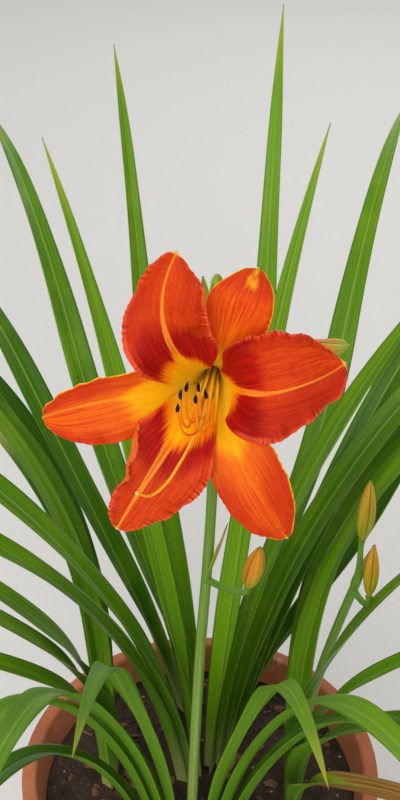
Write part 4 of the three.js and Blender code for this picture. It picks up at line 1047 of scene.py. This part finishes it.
def leafMaterial():
    # parallel veins, a pale midrib, waxy undersides, pale feet and dried tips
    skin = Skin("leafSkin", 0.42, Subsurface_Weight=0.08, Subsurface_Scale=1.2 * mm,
                Subsurface_Radius=(0.5, 1.0, 0.2), Specular_IOR_Level=0.2)
    across, along = skin.uv()
    tone, dry, seed, upper = skin.facts("tone", "dry", "seed", "upper")
    veins = skin.streak(across * 46, along * 1.2, seed * 7, 2.0, 0.5)
    broad = skin.streak(across * 7, along * 3.0, seed * 3, 3.0, 0.6)
    patches, specks = skin.grain(28.0, 3.0, 0.55), skin.grain(700.0, 2.0, 0.5)
    off = (across - 0.5).abs()
    margin = off + (patches - 0.5) * 0.02
    tipEdge = along - 1 + dry + (broad - 0.5) * 0.22 * (dry * 3).least(1.0) + off * dry * 0.5
    body = skin.paint(
        skin.mix((tone * 0.42 + broad * 0.5 + 0.22).ramp(0.0, 1.0), (40, 88, 3), (120, 168, 18)),
        (patches.ramp(0.45, 0.75, 0.0, 0.35), (134, 170, 26)),
        (veins.ramp(0.50, 0.66, 0.0, 0.55), (30, 70, 3)),
        (upper.ramp(0.0, 1.0, 0.75, 0.0), skin.mix(veins.ramp(0.45, 0.68), (104, 150, 40), (66, 118, 20))),
        (off.ramp(0.012, 0.05, 0.55, 0.0) * along.ramp(0.75, 0.98, 1.0, 0.1), (140, 176, 70)),
        (along.ramp(0.02, 0.16, 0.85, 0.0), (196, 204, 130)),
        (margin.ramp(0.47, 0.498, 0.0, 0.45), (150, 176, 60)),
        (tipEdge.ramp(-0.10, 0.02, 0.0, 0.9), (168, 172, 44)),
        (tipEdge.ramp(-0.01, 0.05), skin.mix(veins.ramp(0.35, 0.65), (186, 142, 72), (132, 84, 38))),
        (specks.ramp(0.70, 0.78, 0.0, 0.6), (120, 92, 34)),
    )
    wire(skin.tree, tipEdge.ramp(-0.02, 0.08, 0.36, 0.8), skin.shader.inputs["Roughness"])
    return skin.finish(body, veins * 0.85 + patches * 0.15, 0.3, 0.6)


def growLeaves():
    strap, skin = leafTree(), leafMaterial()
    for i, fan in enumerate(fans):
        for j, (side, rank, direction, lean, arch, length, width, roll, tone, dry) in enumerate(leaves[i]):
            plane = math.radians(fan["plane"] + (180 if side < 0 else 0))
            swing = math.radians(direction) - plane
            out = fan["inner"] + leafForm["rankSpacing"] * rank
            foot = (fan["x"] + out * math.cos(plane), fan["y"] + out * math.sin(plane), leafForm["footHeight"])
            place = "%d_%d" % (i + 1, j + 1)
            blade = grow("leafBlade_" + place, strap, {
                "Foot": [c * mm for c in foot], "Plane": plane,
                "Turn": math.atan2(math.sin(swing), math.cos(swing)),
                "Lean": math.radians(lean), "Arch": math.radians(arch), "Length": length * mm,
                "Width": width * mm, "Roll": math.radians(roll), "Seed": (i * 7 + j) * 0.37,
                "Tone": tone, "Dry": dry, "Material": skin})
            finishPiece(blade, "leaf", "leaf_" + place)


growLeaves()
print("leaves grown")

scapeForm = {
    "foot": 3.4, "top": 2.6, "fork": 2.0, "forkTop": 1.5, "forkCollar": 0.7, "forkPlate": 0.5,
    "stalk": 2.4, "stalkTop": 2.0, "stalkCollar": 0.6, "gap": 0.3, "step": 1.6, "sides": 28.0, "points": 140,
    "forksFrom": 0.8,
}
bractForm = {"rows": 30, "columns": 17, "thickness": 0.7, "foot": 0.9, "tip": 0.35, "curl": 1.6}
scapes = {
    "scapeMain": {
        "node": "scape_main",
        "line": [(-6, -48, 146.6), (-6, -48, 170), (-4, -47, 240), (0, -46, 340), (5, -48, 430), (8, -53, 520)],
        "forks": [{"start": (8, -53, 519), "through": (13, -54, 538), "bud": 0},
                  {"start": (7.8, -52, 514), "through": (8, -46, 534), "bud": 1},
                  {"start": (7.9, -52.6, 517), "through": (16, -46, 534), "bud": 2},
                  {"start": (7.6, -51.6, 511), "through": (2, -47, 530), "bud": 3},
                  {"start": (3.5, -46.8, 398), "through": (13, -64, 408), "bud": 4}],
        "stalk": [(8, -53, 517), (7.6, -61, 537)],
        "bracts": [{"foot": (8, -52, 520), "tip": (0.6, -37, 579.5), "width": 5.6, "dry": 0.3},
                   {"foot": (8, -51.6, 506), "tip": (24, -44, 528), "width": 4, "dry": 1},
                   {"foot": (3.5, -46.5, 397), "tip": (16, -50, 440), "width": 5, "dry": 1}]},
    "scapeSide": {
        "node": "scape_side",
        "line": [(62, 0, 146.6), (62, 0, 170), (65, -2, 220), (76, -9, 300), (86, -17, 356), (89, -20, 372)],
        "forks": [{"start": (88.6, -19.6, 370), "through": (89.6, -19, 386), "bud": 5},
                  {"start": (87.4, -18.2, 363), "through": (92, -29, 364), "bud": 6}],
        "bracts": [{"foot": (87, -17.6, 362), "tip": (100, -12, 392), "width": 4, "dry": 1}]},
}
# an opening bud is fuller above, and its tips stand apart; a beak draws its end out
budForm = {"rings": 90, "sides": 60, "foot": 1.5, "tip": 0.35}
buds = [
    {"foot": (23, -54, 548), "tip": (69, -60, 555.8), "radius": 5.3, "ripe": 0.8, "open": 1.0, "beak": 0.025},
    {"foot": (7.5, -41, 551), "tip": (8.2, -25, 573.5), "radius": 3.9, "ripe": 0.0, "open": 0.8},
    {"foot": (25, -42, 547), "tip": (40, -46, 555), "radius": 2.4, "ripe": 0.0},
    {"foot": (-2, -44, 546), "tip": (-14, -36, 565), "radius": 2.8, "ripe": 0.0},
    {"foot": (24, -82, 426), "tip": (29, -93, 462), "radius": 5, "ripe": 1.0},
    {"foot": (90, -17, 400), "tip": (92.5, -12, 438), "radius": 5, "ripe": 0.6},
    {"foot": (94, -34, 374), "tip": (95, -28, 406), "radius": 4.2, "ripe": 0.8},
]


def stemPath(points, foot, top, shareFrom, shareTo, collar=0.0):
    # a path in metres with its radii; a collar swells its first few millimetres
    path, share, length = smoothPath(points, scapeForm["points"])
    walked = share * length
    radii = foot + (top - foot) * share + collar * np.exp(-(walked / 3.0) ** 2)
    radii = radii * (1 + 0.02 * wander(walked / 9, int(length)))
    return path * mm, radii * mm, shareFrom + (shareTo - shareFrom) * share


def forkPath(fork):
    foot, tip = (np.array(buds[fork["bud"]][end], float) for end in ("foot", "tip"))
    back = unit(foot - tip)
    points = [fork["start"], fork["through"], foot + back * 6, foot + back * scapeForm["gap"]]
    path, radii, share = stemPath(points, scapeForm["fork"], scapeForm["forkTop"], scapeForm["forksFrom"], 1.0,
                                  scapeForm["forkCollar"])
    # the fork widens a little under the bud, as a small plate
    radii = radii + scapeForm["forkPlate"] * mm * smooth(0.82, 1.0, np.linspace(0, 1, len(radii))) ** 2
    return path, radii, share


def stalkPath(start):
    # the bloom's own stalk, which ends just under the tube
    back = -np.array(facing)
    end = bloomCentre + back * (bloom["tube"] + 1.4 + scapeForm["gap"])
    return stemPath(start + [end + back * 6, end], scapeForm["stalk"], scapeForm["stalkTop"],
                    scapeForm["forksFrom"], 1.0, scapeForm["stalkCollar"])


def bractSheet(bract):
    # a boat-shaped scale: wide above its foot, drawn out to a fine tip that curls outwards
    start, end = np.array(bract["foot"], float), np.array(bract["tip"], float)
    along = unit(end - start)
    across = unit(np.cross((0, 0, 1), along))
    upper = np.cross(along, across)
    s, u = np.linspace(0, 1, bractForm["rows"])[:, None], np.linspace(-1, 1, bractForm["columns"])
    fullness = np.sin(np.clip(math.pi * s ** 0.6, 0, math.pi)) ** 0.8
    half = bractForm["tip"] + (bract["width"] - bractForm["tip"]) * fullness
    half = np.maximum(half, bractForm["foot"] * (1 - s) ** 0.5)
    curl = bractForm["curl"] * s ** 3
    lift = 0.25 * half * (np.sqrt(u * u + 0.02) - 0.14) * 1.6 + curl + 0.15 * np.sin(s * 17) * u * u
    points = start + (end - start) * s[..., None] + across * (u * half)[..., None] + upper * lift[..., None]
    ones = np.ones_like(lift)
    return points, bractForm["thickness"] * (1 - 0.5 * s) * ones, {"share": bract["dry"] * s * ones}


def bractMaterial():
    # green at the foot, papery and straw-coloured towards the tip
    skin = Skin("bractSkin", 0.6, Subsurface_Weight=0.1, Subsurface_Scale=0.8 * mm)
    share = skin.facts("share")[0]
    cloud, fine = skin.grain(240.0, 4.0, 0.6), skin.grain(900.0, 3.0, 0.6)
    body = skin.paint(
        skin.mix((share + (cloud - 0.5) * 0.5).ramp(0.25, 0.75), (134, 168, 30), (194, 158, 66)),
        ((share + (cloud - 0.5) * 0.4).ramp(0.8, 1.0), (142, 92, 50)),
        (fine.ramp(0.5, 0.7, 0.0, 0.4), (156, 150, 70)),
    )
    return skin.finish(body, fine, 0.2, 0.5)


def buildScapes():
    skin = stemMaterial("scapeSkin", (142, 168, 82), (104, 146, 44), (80, 122, 30), 0.45)
    bractSkin = bractMaterial()
    for name, scape in scapes.items():
        paths = [stemPath(scape["line"], scapeForm["foot"], scapeForm["top"], 0.0, scapeForm["forksFrom"])]
        if "stalk" in scape:
            paths.append(stalkPath(scape["stalk"]))
        paths += [forkPath(fork) for fork in scape["forks"]]
        growStem(name + "Fine", paths, scapeForm, skin, "scape", scape["node"])
        vertices, faces, facts = joinShells(map(bractSheet, scape["bracts"]))
        bracts = meshObject(name + "Bracts", vertices * mm, faces, bractSkin, None, {"share": facts["share"]})
        finishPiece(bracts, "scape", scape["node"])


def budMaterial():
    # green at the foot; ripe buds turn yellow and orange towards the tip, between darker seams
    skin = Skin("budSkin", 0.45, Subsurface_Weight=0.15, Subsurface_Scale=1.5 * mm, Specular_IOR_Level=0.25)
    share, seam, ripe, ridge, turn = skin.facts("share", "seam", "ripe", "ridge", "round")
    cloud, fine = skin.grain(160.0, 3.0, 0.6), skin.grain(900.0, 3.0, 0.6)
    stripe = skin.streak(turn * 7, share * 1.5, 0.0, 3.0, 0.6)
    young = skin.mix(share.ramp(0.0, 1.0), (104, 150, 20), (160, 184, 60))
    old = skin.mix((share + (cloud - 0.5) * 0.3).ramp(0.05, 0.95), (166, 160, 16), (232, 140, 20))
    body = skin.paint(
        skin.mix(ripe, young, old),
        (stripe.ramp(0.46, 0.6, 0.0, 0.7), skin.mix(ripe, (84, 128, 24), (206, 104, 34))),
        (stripe.ramp(0.44, 0.34, 0.0, 0.6), skin.mix(ripe, (184, 200, 76), (112, 130, 14))),
        (ridge.ramp(0.2, 1.0, 0.0, 0.25), (184, 180, 40)),
        (fine.ramp(0.5, 0.72, 0.0, 0.35), (120, 128, 36)),
        (seam.ramp(0.25, 0.9, 0.0, 0.75), (98, 112, 28)),
        (share.ramp(0.93, 1.0, 0.0, 0.7), skin.mix(ripe, (150, 176, 84), (112, 110, 40))),
    )
    return skin.finish(body, fine + seam * -1.5, 0.25, 0.5)


def buildBuds():
    skin = budMaterial()
    angle = around(budForm["sides"])
    grid = (budForm["rings"], budForm["sides"])
    for i, bud in enumerate(buds, 1):
        foot, tip = np.array(bud["foot"], float), np.array(bud["tip"], float)
        sag = 0.04 * np.linalg.norm(tip - foot)
        middle = foot + (tip - foot) * 0.5 - (0, 0, sag)
        path, share = smoothPath([foot, middle, tip], budForm["rings"])[:2]
        along = unit(np.gradient(path, axis=0))
        side = unit(np.cross(along, (0.3, 0.2, 1.0)))
        other = np.cross(along, side)
        s = share[:, None]
        lobe = np.cos(3 * angle + 0.9 * s * 0.5)
        seam = np.exp(-((1 + lobe) / 0.10) ** 2) * smooth(0.03, 0.2, s)
        ridge = np.exp(-((1 - lobe) / 0.16) ** 2)
        opening = bud.get("open", 0)
        body = np.clip(s * (1 + bud.get("beak", 0)), 0, 1)
        fullness = np.sin(math.pi * body ** (0.8 + 0.25 * opening)) ** (0.75 - 0.2 * opening)
        radius = budForm["tip"] + (bud["radius"] - budForm["tip"]) * fullness
        radius = np.maximum(radius, budForm["foot"] * (1 - smooth(0.0, 0.10, s)))
        radius = radius * (1 + 0.05 * lobe + 0.03 * ridge - 0.06 * seam)
        radius = radius * (1 + 0.4 * opening * lobe * smooth(0.72, 0.96, s))
        points = path[:, None] + (radius * np.cos(angle))[..., None] * side[:, None]
        points = points + (radius * np.sin(angle))[..., None] * other[:, None]
        vertices, faces = closedRings(points)
        facts = {"share": ringFacts(s, grid, 0, 1), "round": ringFacts(np.abs(angle / math.pi - 1), grid, 0, 0),
                 "seam": ringFacts(seam, grid, 0, 0), "ridge": ringFacts(ridge, grid, 0, 0)}
        facts["ripe"] = bud["ripe"] * (1 - opening * smooth(0.78, 0.97, facts["share"]))
        finishPiece(meshObject("budFine_%d" % i, vertices * mm, faces, skin, None, facts), "bud", "bud_%d" % i)


buildScapes()
buildBuds()
print("scapes, bracts and buds grown")

potForm = {
    "height": 190, "footRadius": 80, "shoulderRadius": 108, "rimRadius": 117, "rimHeight": 32, "floor": 10,
    "innerFootRadius": 72, "innerRimRadius": 107, "edge": 3, "sides": 160,
    "drains": 3, "drainRadius": 7, "drainCircle": 42, "drainMiddle": 5, "drainDepth": 40,
}


def arcPoints(radius, height, bend, fromAngle, toAngle):
    angles = np.radians(np.linspace(fromAngle, toAngle, 6))
    return [(radius + bend * math.cos(a), height + bend * math.sin(a)) for a in angles]


def potOutline():
    # half the pot's section, as radius and height, from the middle of the underside round to the floor
    p = potForm
    shoulder, edge, floor = p["height"] - p["rimHeight"], p["edge"], p["floor"]
    outline = [(0, 0), (30, 0), (60, 0)]
    outline += arcPoints(p["footRadius"] - 2, 2, 2, -90, -10)
    for share in np.linspace(0.05, 0.97, 26):
        radius = p["footRadius"] + (p["shoulderRadius"] - p["footRadius"]) * share
        outline.append((radius + 0.15 * math.sin(share * 60), share * shoulder))
    outline += [(p["shoulderRadius"] + 0.1, shoulder - 1.2), (p["shoulderRadius"] + 1.2, shoulder - 0.1)]
    outline += arcPoints(p["rimRadius"] - edge, shoulder + edge, edge, -90, 0)
    for height in np.linspace(shoulder + 6, p["height"] - 6, 8):
        outline.append((p["rimRadius"] + 0.10 * math.sin(height), height))
    outline += arcPoints(p["rimRadius"] - edge, p["height"] - edge, edge, 0, 90)
    outline += arcPoints(p["innerRimRadius"] + edge, p["height"] - edge, edge, 90, 180)
    for share in np.linspace(0.96, 0.03, 24):
        radius = p["innerFootRadius"] + (p["innerRimRadius"] - p["innerFootRadius"]) * share
        outline.append((radius, floor + (p["height"] - floor) * share))
    outline += [(p["innerFootRadius"] - 1, floor + 1), (p["innerFootRadius"] - 4, floor)]
    return np.array(outline + [(60, floor), (30, floor), (0, floor)])


def potMaterial():
    # fired clay: mottled orange-brown, fine pores, turning lines and a chalky bloom of lime
    skin = Skin("firedClay", 0.86)
    x, y, height = split(skin.tree, skin.point())
    cloud, wash, grain = skin.grain(16.0, 4.0, 0.6), skin.grain(42.0, 5.0, 0.65), skin.grain(700.0, 4.0, 0.7)
    rings = skin.streak(x, y, height * 60, 3.0, 0.55, scale=9.0)
    limed = (wash + (grain - 0.5) * 0.35).ramp(0.58, 0.76) * height.ramp(0.10, 0.17, 0.35, 1.0)
    moss = (cloud + (wash - 0.5) * 0.6).ramp(0.66, 0.8) * height.ramp(0.12, 0.02, 0.0, 0.55)
    body = skin.paint(
        skin.mix(cloud.ramp(0.3, 0.7), (168, 92, 58), (196, 116, 76)),
        (grain.ramp(0.5, 0.75, 0.0, 0.5), (214, 140, 102)),
        (grain.ramp(0.42, 0.22, 0.0, 0.5), (120, 62, 40)),
        (rings.ramp(0.52, 0.66, 0.0, 0.25), (146, 78, 50)),
        ((height + (wash - 0.5) * 0.05).ramp(0.0, 0.055, 0.55, 0.0), (112, 66, 46)),  # darker towards the foot
        (limed * 0.62, (222, 204, 186)),
        (moss, (96, 98, 58)),
    )
    return skin.finish(body, grain * 0.5 + rings * 0.5, 0.5, 0.6)


def buildPot():
    outline = potOutline()
    rings = circles(outline[1:-1, :1], outline[1:-1, 1:], around(potForm["sides"]))
    vertices, faces = closedRings(rings, [(0, 0, outline[0, 1]), (0, 0, outline[-1, 1])])
    body = meshObject("potFine", vertices * mm, faces, potMaterial())
    cutters = []
    for k in range(potForm["drains"]):
        angle = fullTurn * k / potForm["drains"] + math.pi / 2
        place = Vector(circles(potForm["drainCircle"], potForm["drainMiddle"], angle)) * mm
        radius = potForm["drainRadius"] * mm
        shape = bmesh.new()
        bmesh.ops.create_cone(shape, cap_ends=True, segments=48, radius1=radius, radius2=radius,
                              depth=potForm["drainDepth"] * mm)
        bmesh.ops.translate(shape, verts=shape.verts, vec=place)
        mesh = bpy.data.meshes.new("drain")
        shape.to_mesh(mesh)
        shape.free()
        cutter = bpy.data.objects.new("drain", mesh)
        scene.collection.objects.link(cutter)
        cut = body.modifiers.new("drain", "BOOLEAN")
        cut.operation, cut.solver, cut.object = "DIFFERENCE", "EXACT", cutter
        cutters.append(cutter)
    evaluated = body.evaluated_get(bpy.context.evaluated_depsgraph_get())
    made = bpy.data.meshes.new_from_object(evaluated)
    body.modifiers.clear()
    body.data = made
    made.set_sharp_from_angle(angle=math.radians(40))
    for cutter in cutters:
        bpy.data.objects.remove(cutter)
    finishPiece(body, "clay", "pot")


soilForm = {
    "level": 168, "mound": 4, "reach": 102.7, "gap": 0.5, "rings": 84, "sides": 240,
    "wallHeights": [10.4, 12, 60, 110, 150, 164, 167.4],
}
soilColours = {
    "pottingSoil": {"dark": (38, 27, 19), "pale": (62, 46, 33), "roughness": 0.95},
    "soilCrumb": {"dark": (46, 33, 24), "pale": (84, 62, 44), "roughness": 0.95},
    "barkChip": {"dark": (88, 56, 34), "pale": (128, 88, 56), "roughness": 0.8},
    "grit": {"dark": (120, 112, 100), "pale": (164, 156, 140), "roughness": 0.7},
}
# what is strewn on the soil; density is the number for each square metre
strewn = {
    "soilLumps": {"Density": 24000.0, "Smallest": 0.9 * mm, "Largest": 2.4 * mm, "Flatness": 0.7, "Long": 1.0,
                  "Seed": 4.0, "Material": "soilCrumb"},
    "soilCrumbs": {"Density": 52000.0, "Smallest": 0.35 * mm, "Largest": 0.9 * mm, "Flatness": 0.8, "Long": 1.1,
                   "Seed": 9.0, "Material": "soilCrumb"},
    "barkChips": {"Density": 3000.0, "Smallest": 1.4 * mm, "Largest": 3.2 * mm, "Flatness": 0.25, "Long": 2.2,
                  "Seed": 14.0, "Material": "barkChip"},
    "gritStones": {"Density": 3600.0, "Smallest": 0.5 * mm, "Largest": 1.3 * mm, "Flatness": 0.8, "Long": 1.1,
                   "Seed": 21.0, "Material": "grit"},
}


def soilHeight(x, y):
    # the soil's top in millimetres: a low mound, with lumps that die away towards the pot
    radius, reach = np.hypot(x, y), soilForm["reach"]
    height = soilForm["level"] + soilForm["mound"] * (1 - (radius / reach) ** 2)
    inside = np.clip((reach - radius) / 20, 0, 1)
    lumps = 1.3 * np.sin(x / 13 + 1) * np.cos(y / 11) + 0.8 * np.sin((x - y) / 7 + 2)
    ripples = 0.5 * np.sin(x / 3.1 + np.sin(y / 4.3)) * np.sin(y / 2.7 + 1)
    return height + inside * lumps + ripples + 0.25 * np.sin(x * 1.3) * np.sin(y * 1.1)


def soilWall(height):
    # the soil's radius against the pot's inner wall
    p = potForm
    widening = (p["innerRimRadius"] - p["innerFootRadius"]) * (height - p["floor"]) / (p["height"] - p["floor"])
    return p["innerFootRadius"] + widening - soilForm["gap"]


def soilMaterial(name):
    colours = soilColours[name]
    skin = Skin(name, colours["roughness"])
    broad, fine = skin.grain(60.0, 5.0, 0.65), skin.grain(900.0, 4.0, 0.7)
    body = skin.paint(
        skin.mix(broad.ramp(0.35, 0.65), colours["dark"], colours["pale"]),
        (fine.ramp(0.55, 0.72, 0.0, 0.6), (92, 72, 52)),
        (fine.ramp(0.40, 0.25, 0.0, 0.6), (22, 16, 11)),
    )
    return skin.finish(body, broad * 0.4 + fine * 0.6, 1.2, 0.9)


def scatterTree():
    # bits thrown on a surface: counts come from the density, every bit is turned and sized at random
    tree, given = newTree("strewnBits", "Geometry", "Density", "Smallest", "Largest", "Flatness", "Long",
                          "Seed", "Material")
    thrown = flow(tree, "GeometryNodeDistributePointsOnFaces",
                  {"Mesh": given["Geometry"], "Density": given["Density"], "Seed": given["Seed"]})
    ball = flow(tree, "GeometryNodeMeshUVSphere", {"Radius": 1.0, "Segments": 8, "Rings": 5})
    dents = Field(tree, flow(tree, "ShaderNodeTexNoise", {"Scale": 1.7, "Detail": 2.0}))
    rough = vectorSum(tree, "SCALE", flow(tree, "GeometryNodeInputPosition"), Scale=dents * 1.5 + 0.25)
    lump = flow(tree, "GeometryNodeSetPosition", {"Geometry": ball, "Position": rough})
    turns = flow(tree, "FunctionNodeRandomValue", {0: (-0.5, -0.5, 0.0), 1: (0.5, 0.5, 6.28), "Seed": 3},
                 data_type="FLOAT_VECTOR")
    sizes = put(tree, "FunctionNodeRandomValue", {2: given["Smallest"], 3: given["Largest"], "Seed": 5},
                data_type="FLOAT")
    size = Field(tree, sizes.outputs[1])
    scale = vector(tree, size * given["Long"], size, size * given["Flatness"])
    bits = flow(tree, "GeometryNodeInstanceOnPoints",
                {"Points": thrown, "Instance": lump, "Rotation": turns, "Scale": scale})
    return endTree(tree, bits, given["Material"])


def buildSoil():
    skins = {name: soilMaterial(name) for name in soilColours}
    angle = around(soilForm["sides"])
    heights = np.array(soilForm["wallHeights"])[:, None]
    wall = circles(soilWall(heights), heights, angle)
    radius = soilWall(soilForm["level"]) * np.linspace(1, 0.012, soilForm["rings"])[:, None]
    top = circles(radius, 0, angle)
    top[..., 2] = soilHeight(top[..., 0], top[..., 1])
    vertices, faces = closedRings(np.concatenate([wall[:1] * (0.5, 0.5, 1), wall, top]))
    finishPiece(meshObject("soilFine", vertices * mm, faces, skins["pottingSoil"]), "soil", "soil")
    # only the top is strewn
    patch = top[3:]
    scatter = scatterTree()
    for name, facts in strewn.items():
        base = bpy.data.meshes.new(name)
        base.from_pydata((patch.reshape(-1, 3) * mm).tolist(), [], ringFaces(*patch.shape[:2]))
        bits = grow(name, scatter, {**facts, "Material": skins[facts["Material"]]}, base)
        finishPiece(bits, "soil", "soil")


def dressCrowns():
    # the buried crowns keep their own shape
    skin = Skin("crownFlesh", 0.7)
    fibres = skin.grain(320.0, 4.0, 0.65)
    body = skin.mix(fibres.ramp(0.35, 0.65), (120, 104, 60), (176, 164, 112))
    material = skin.finish(body, fibres, 0.8, 0.7)
    for name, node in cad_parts.items():
        if name.startswith("crown_"):
            node.data.materials.clear()
            node.data.materials.append(material)


buildPot()
buildSoil()
dressCrowns()
print("pot, soil and crowns made")
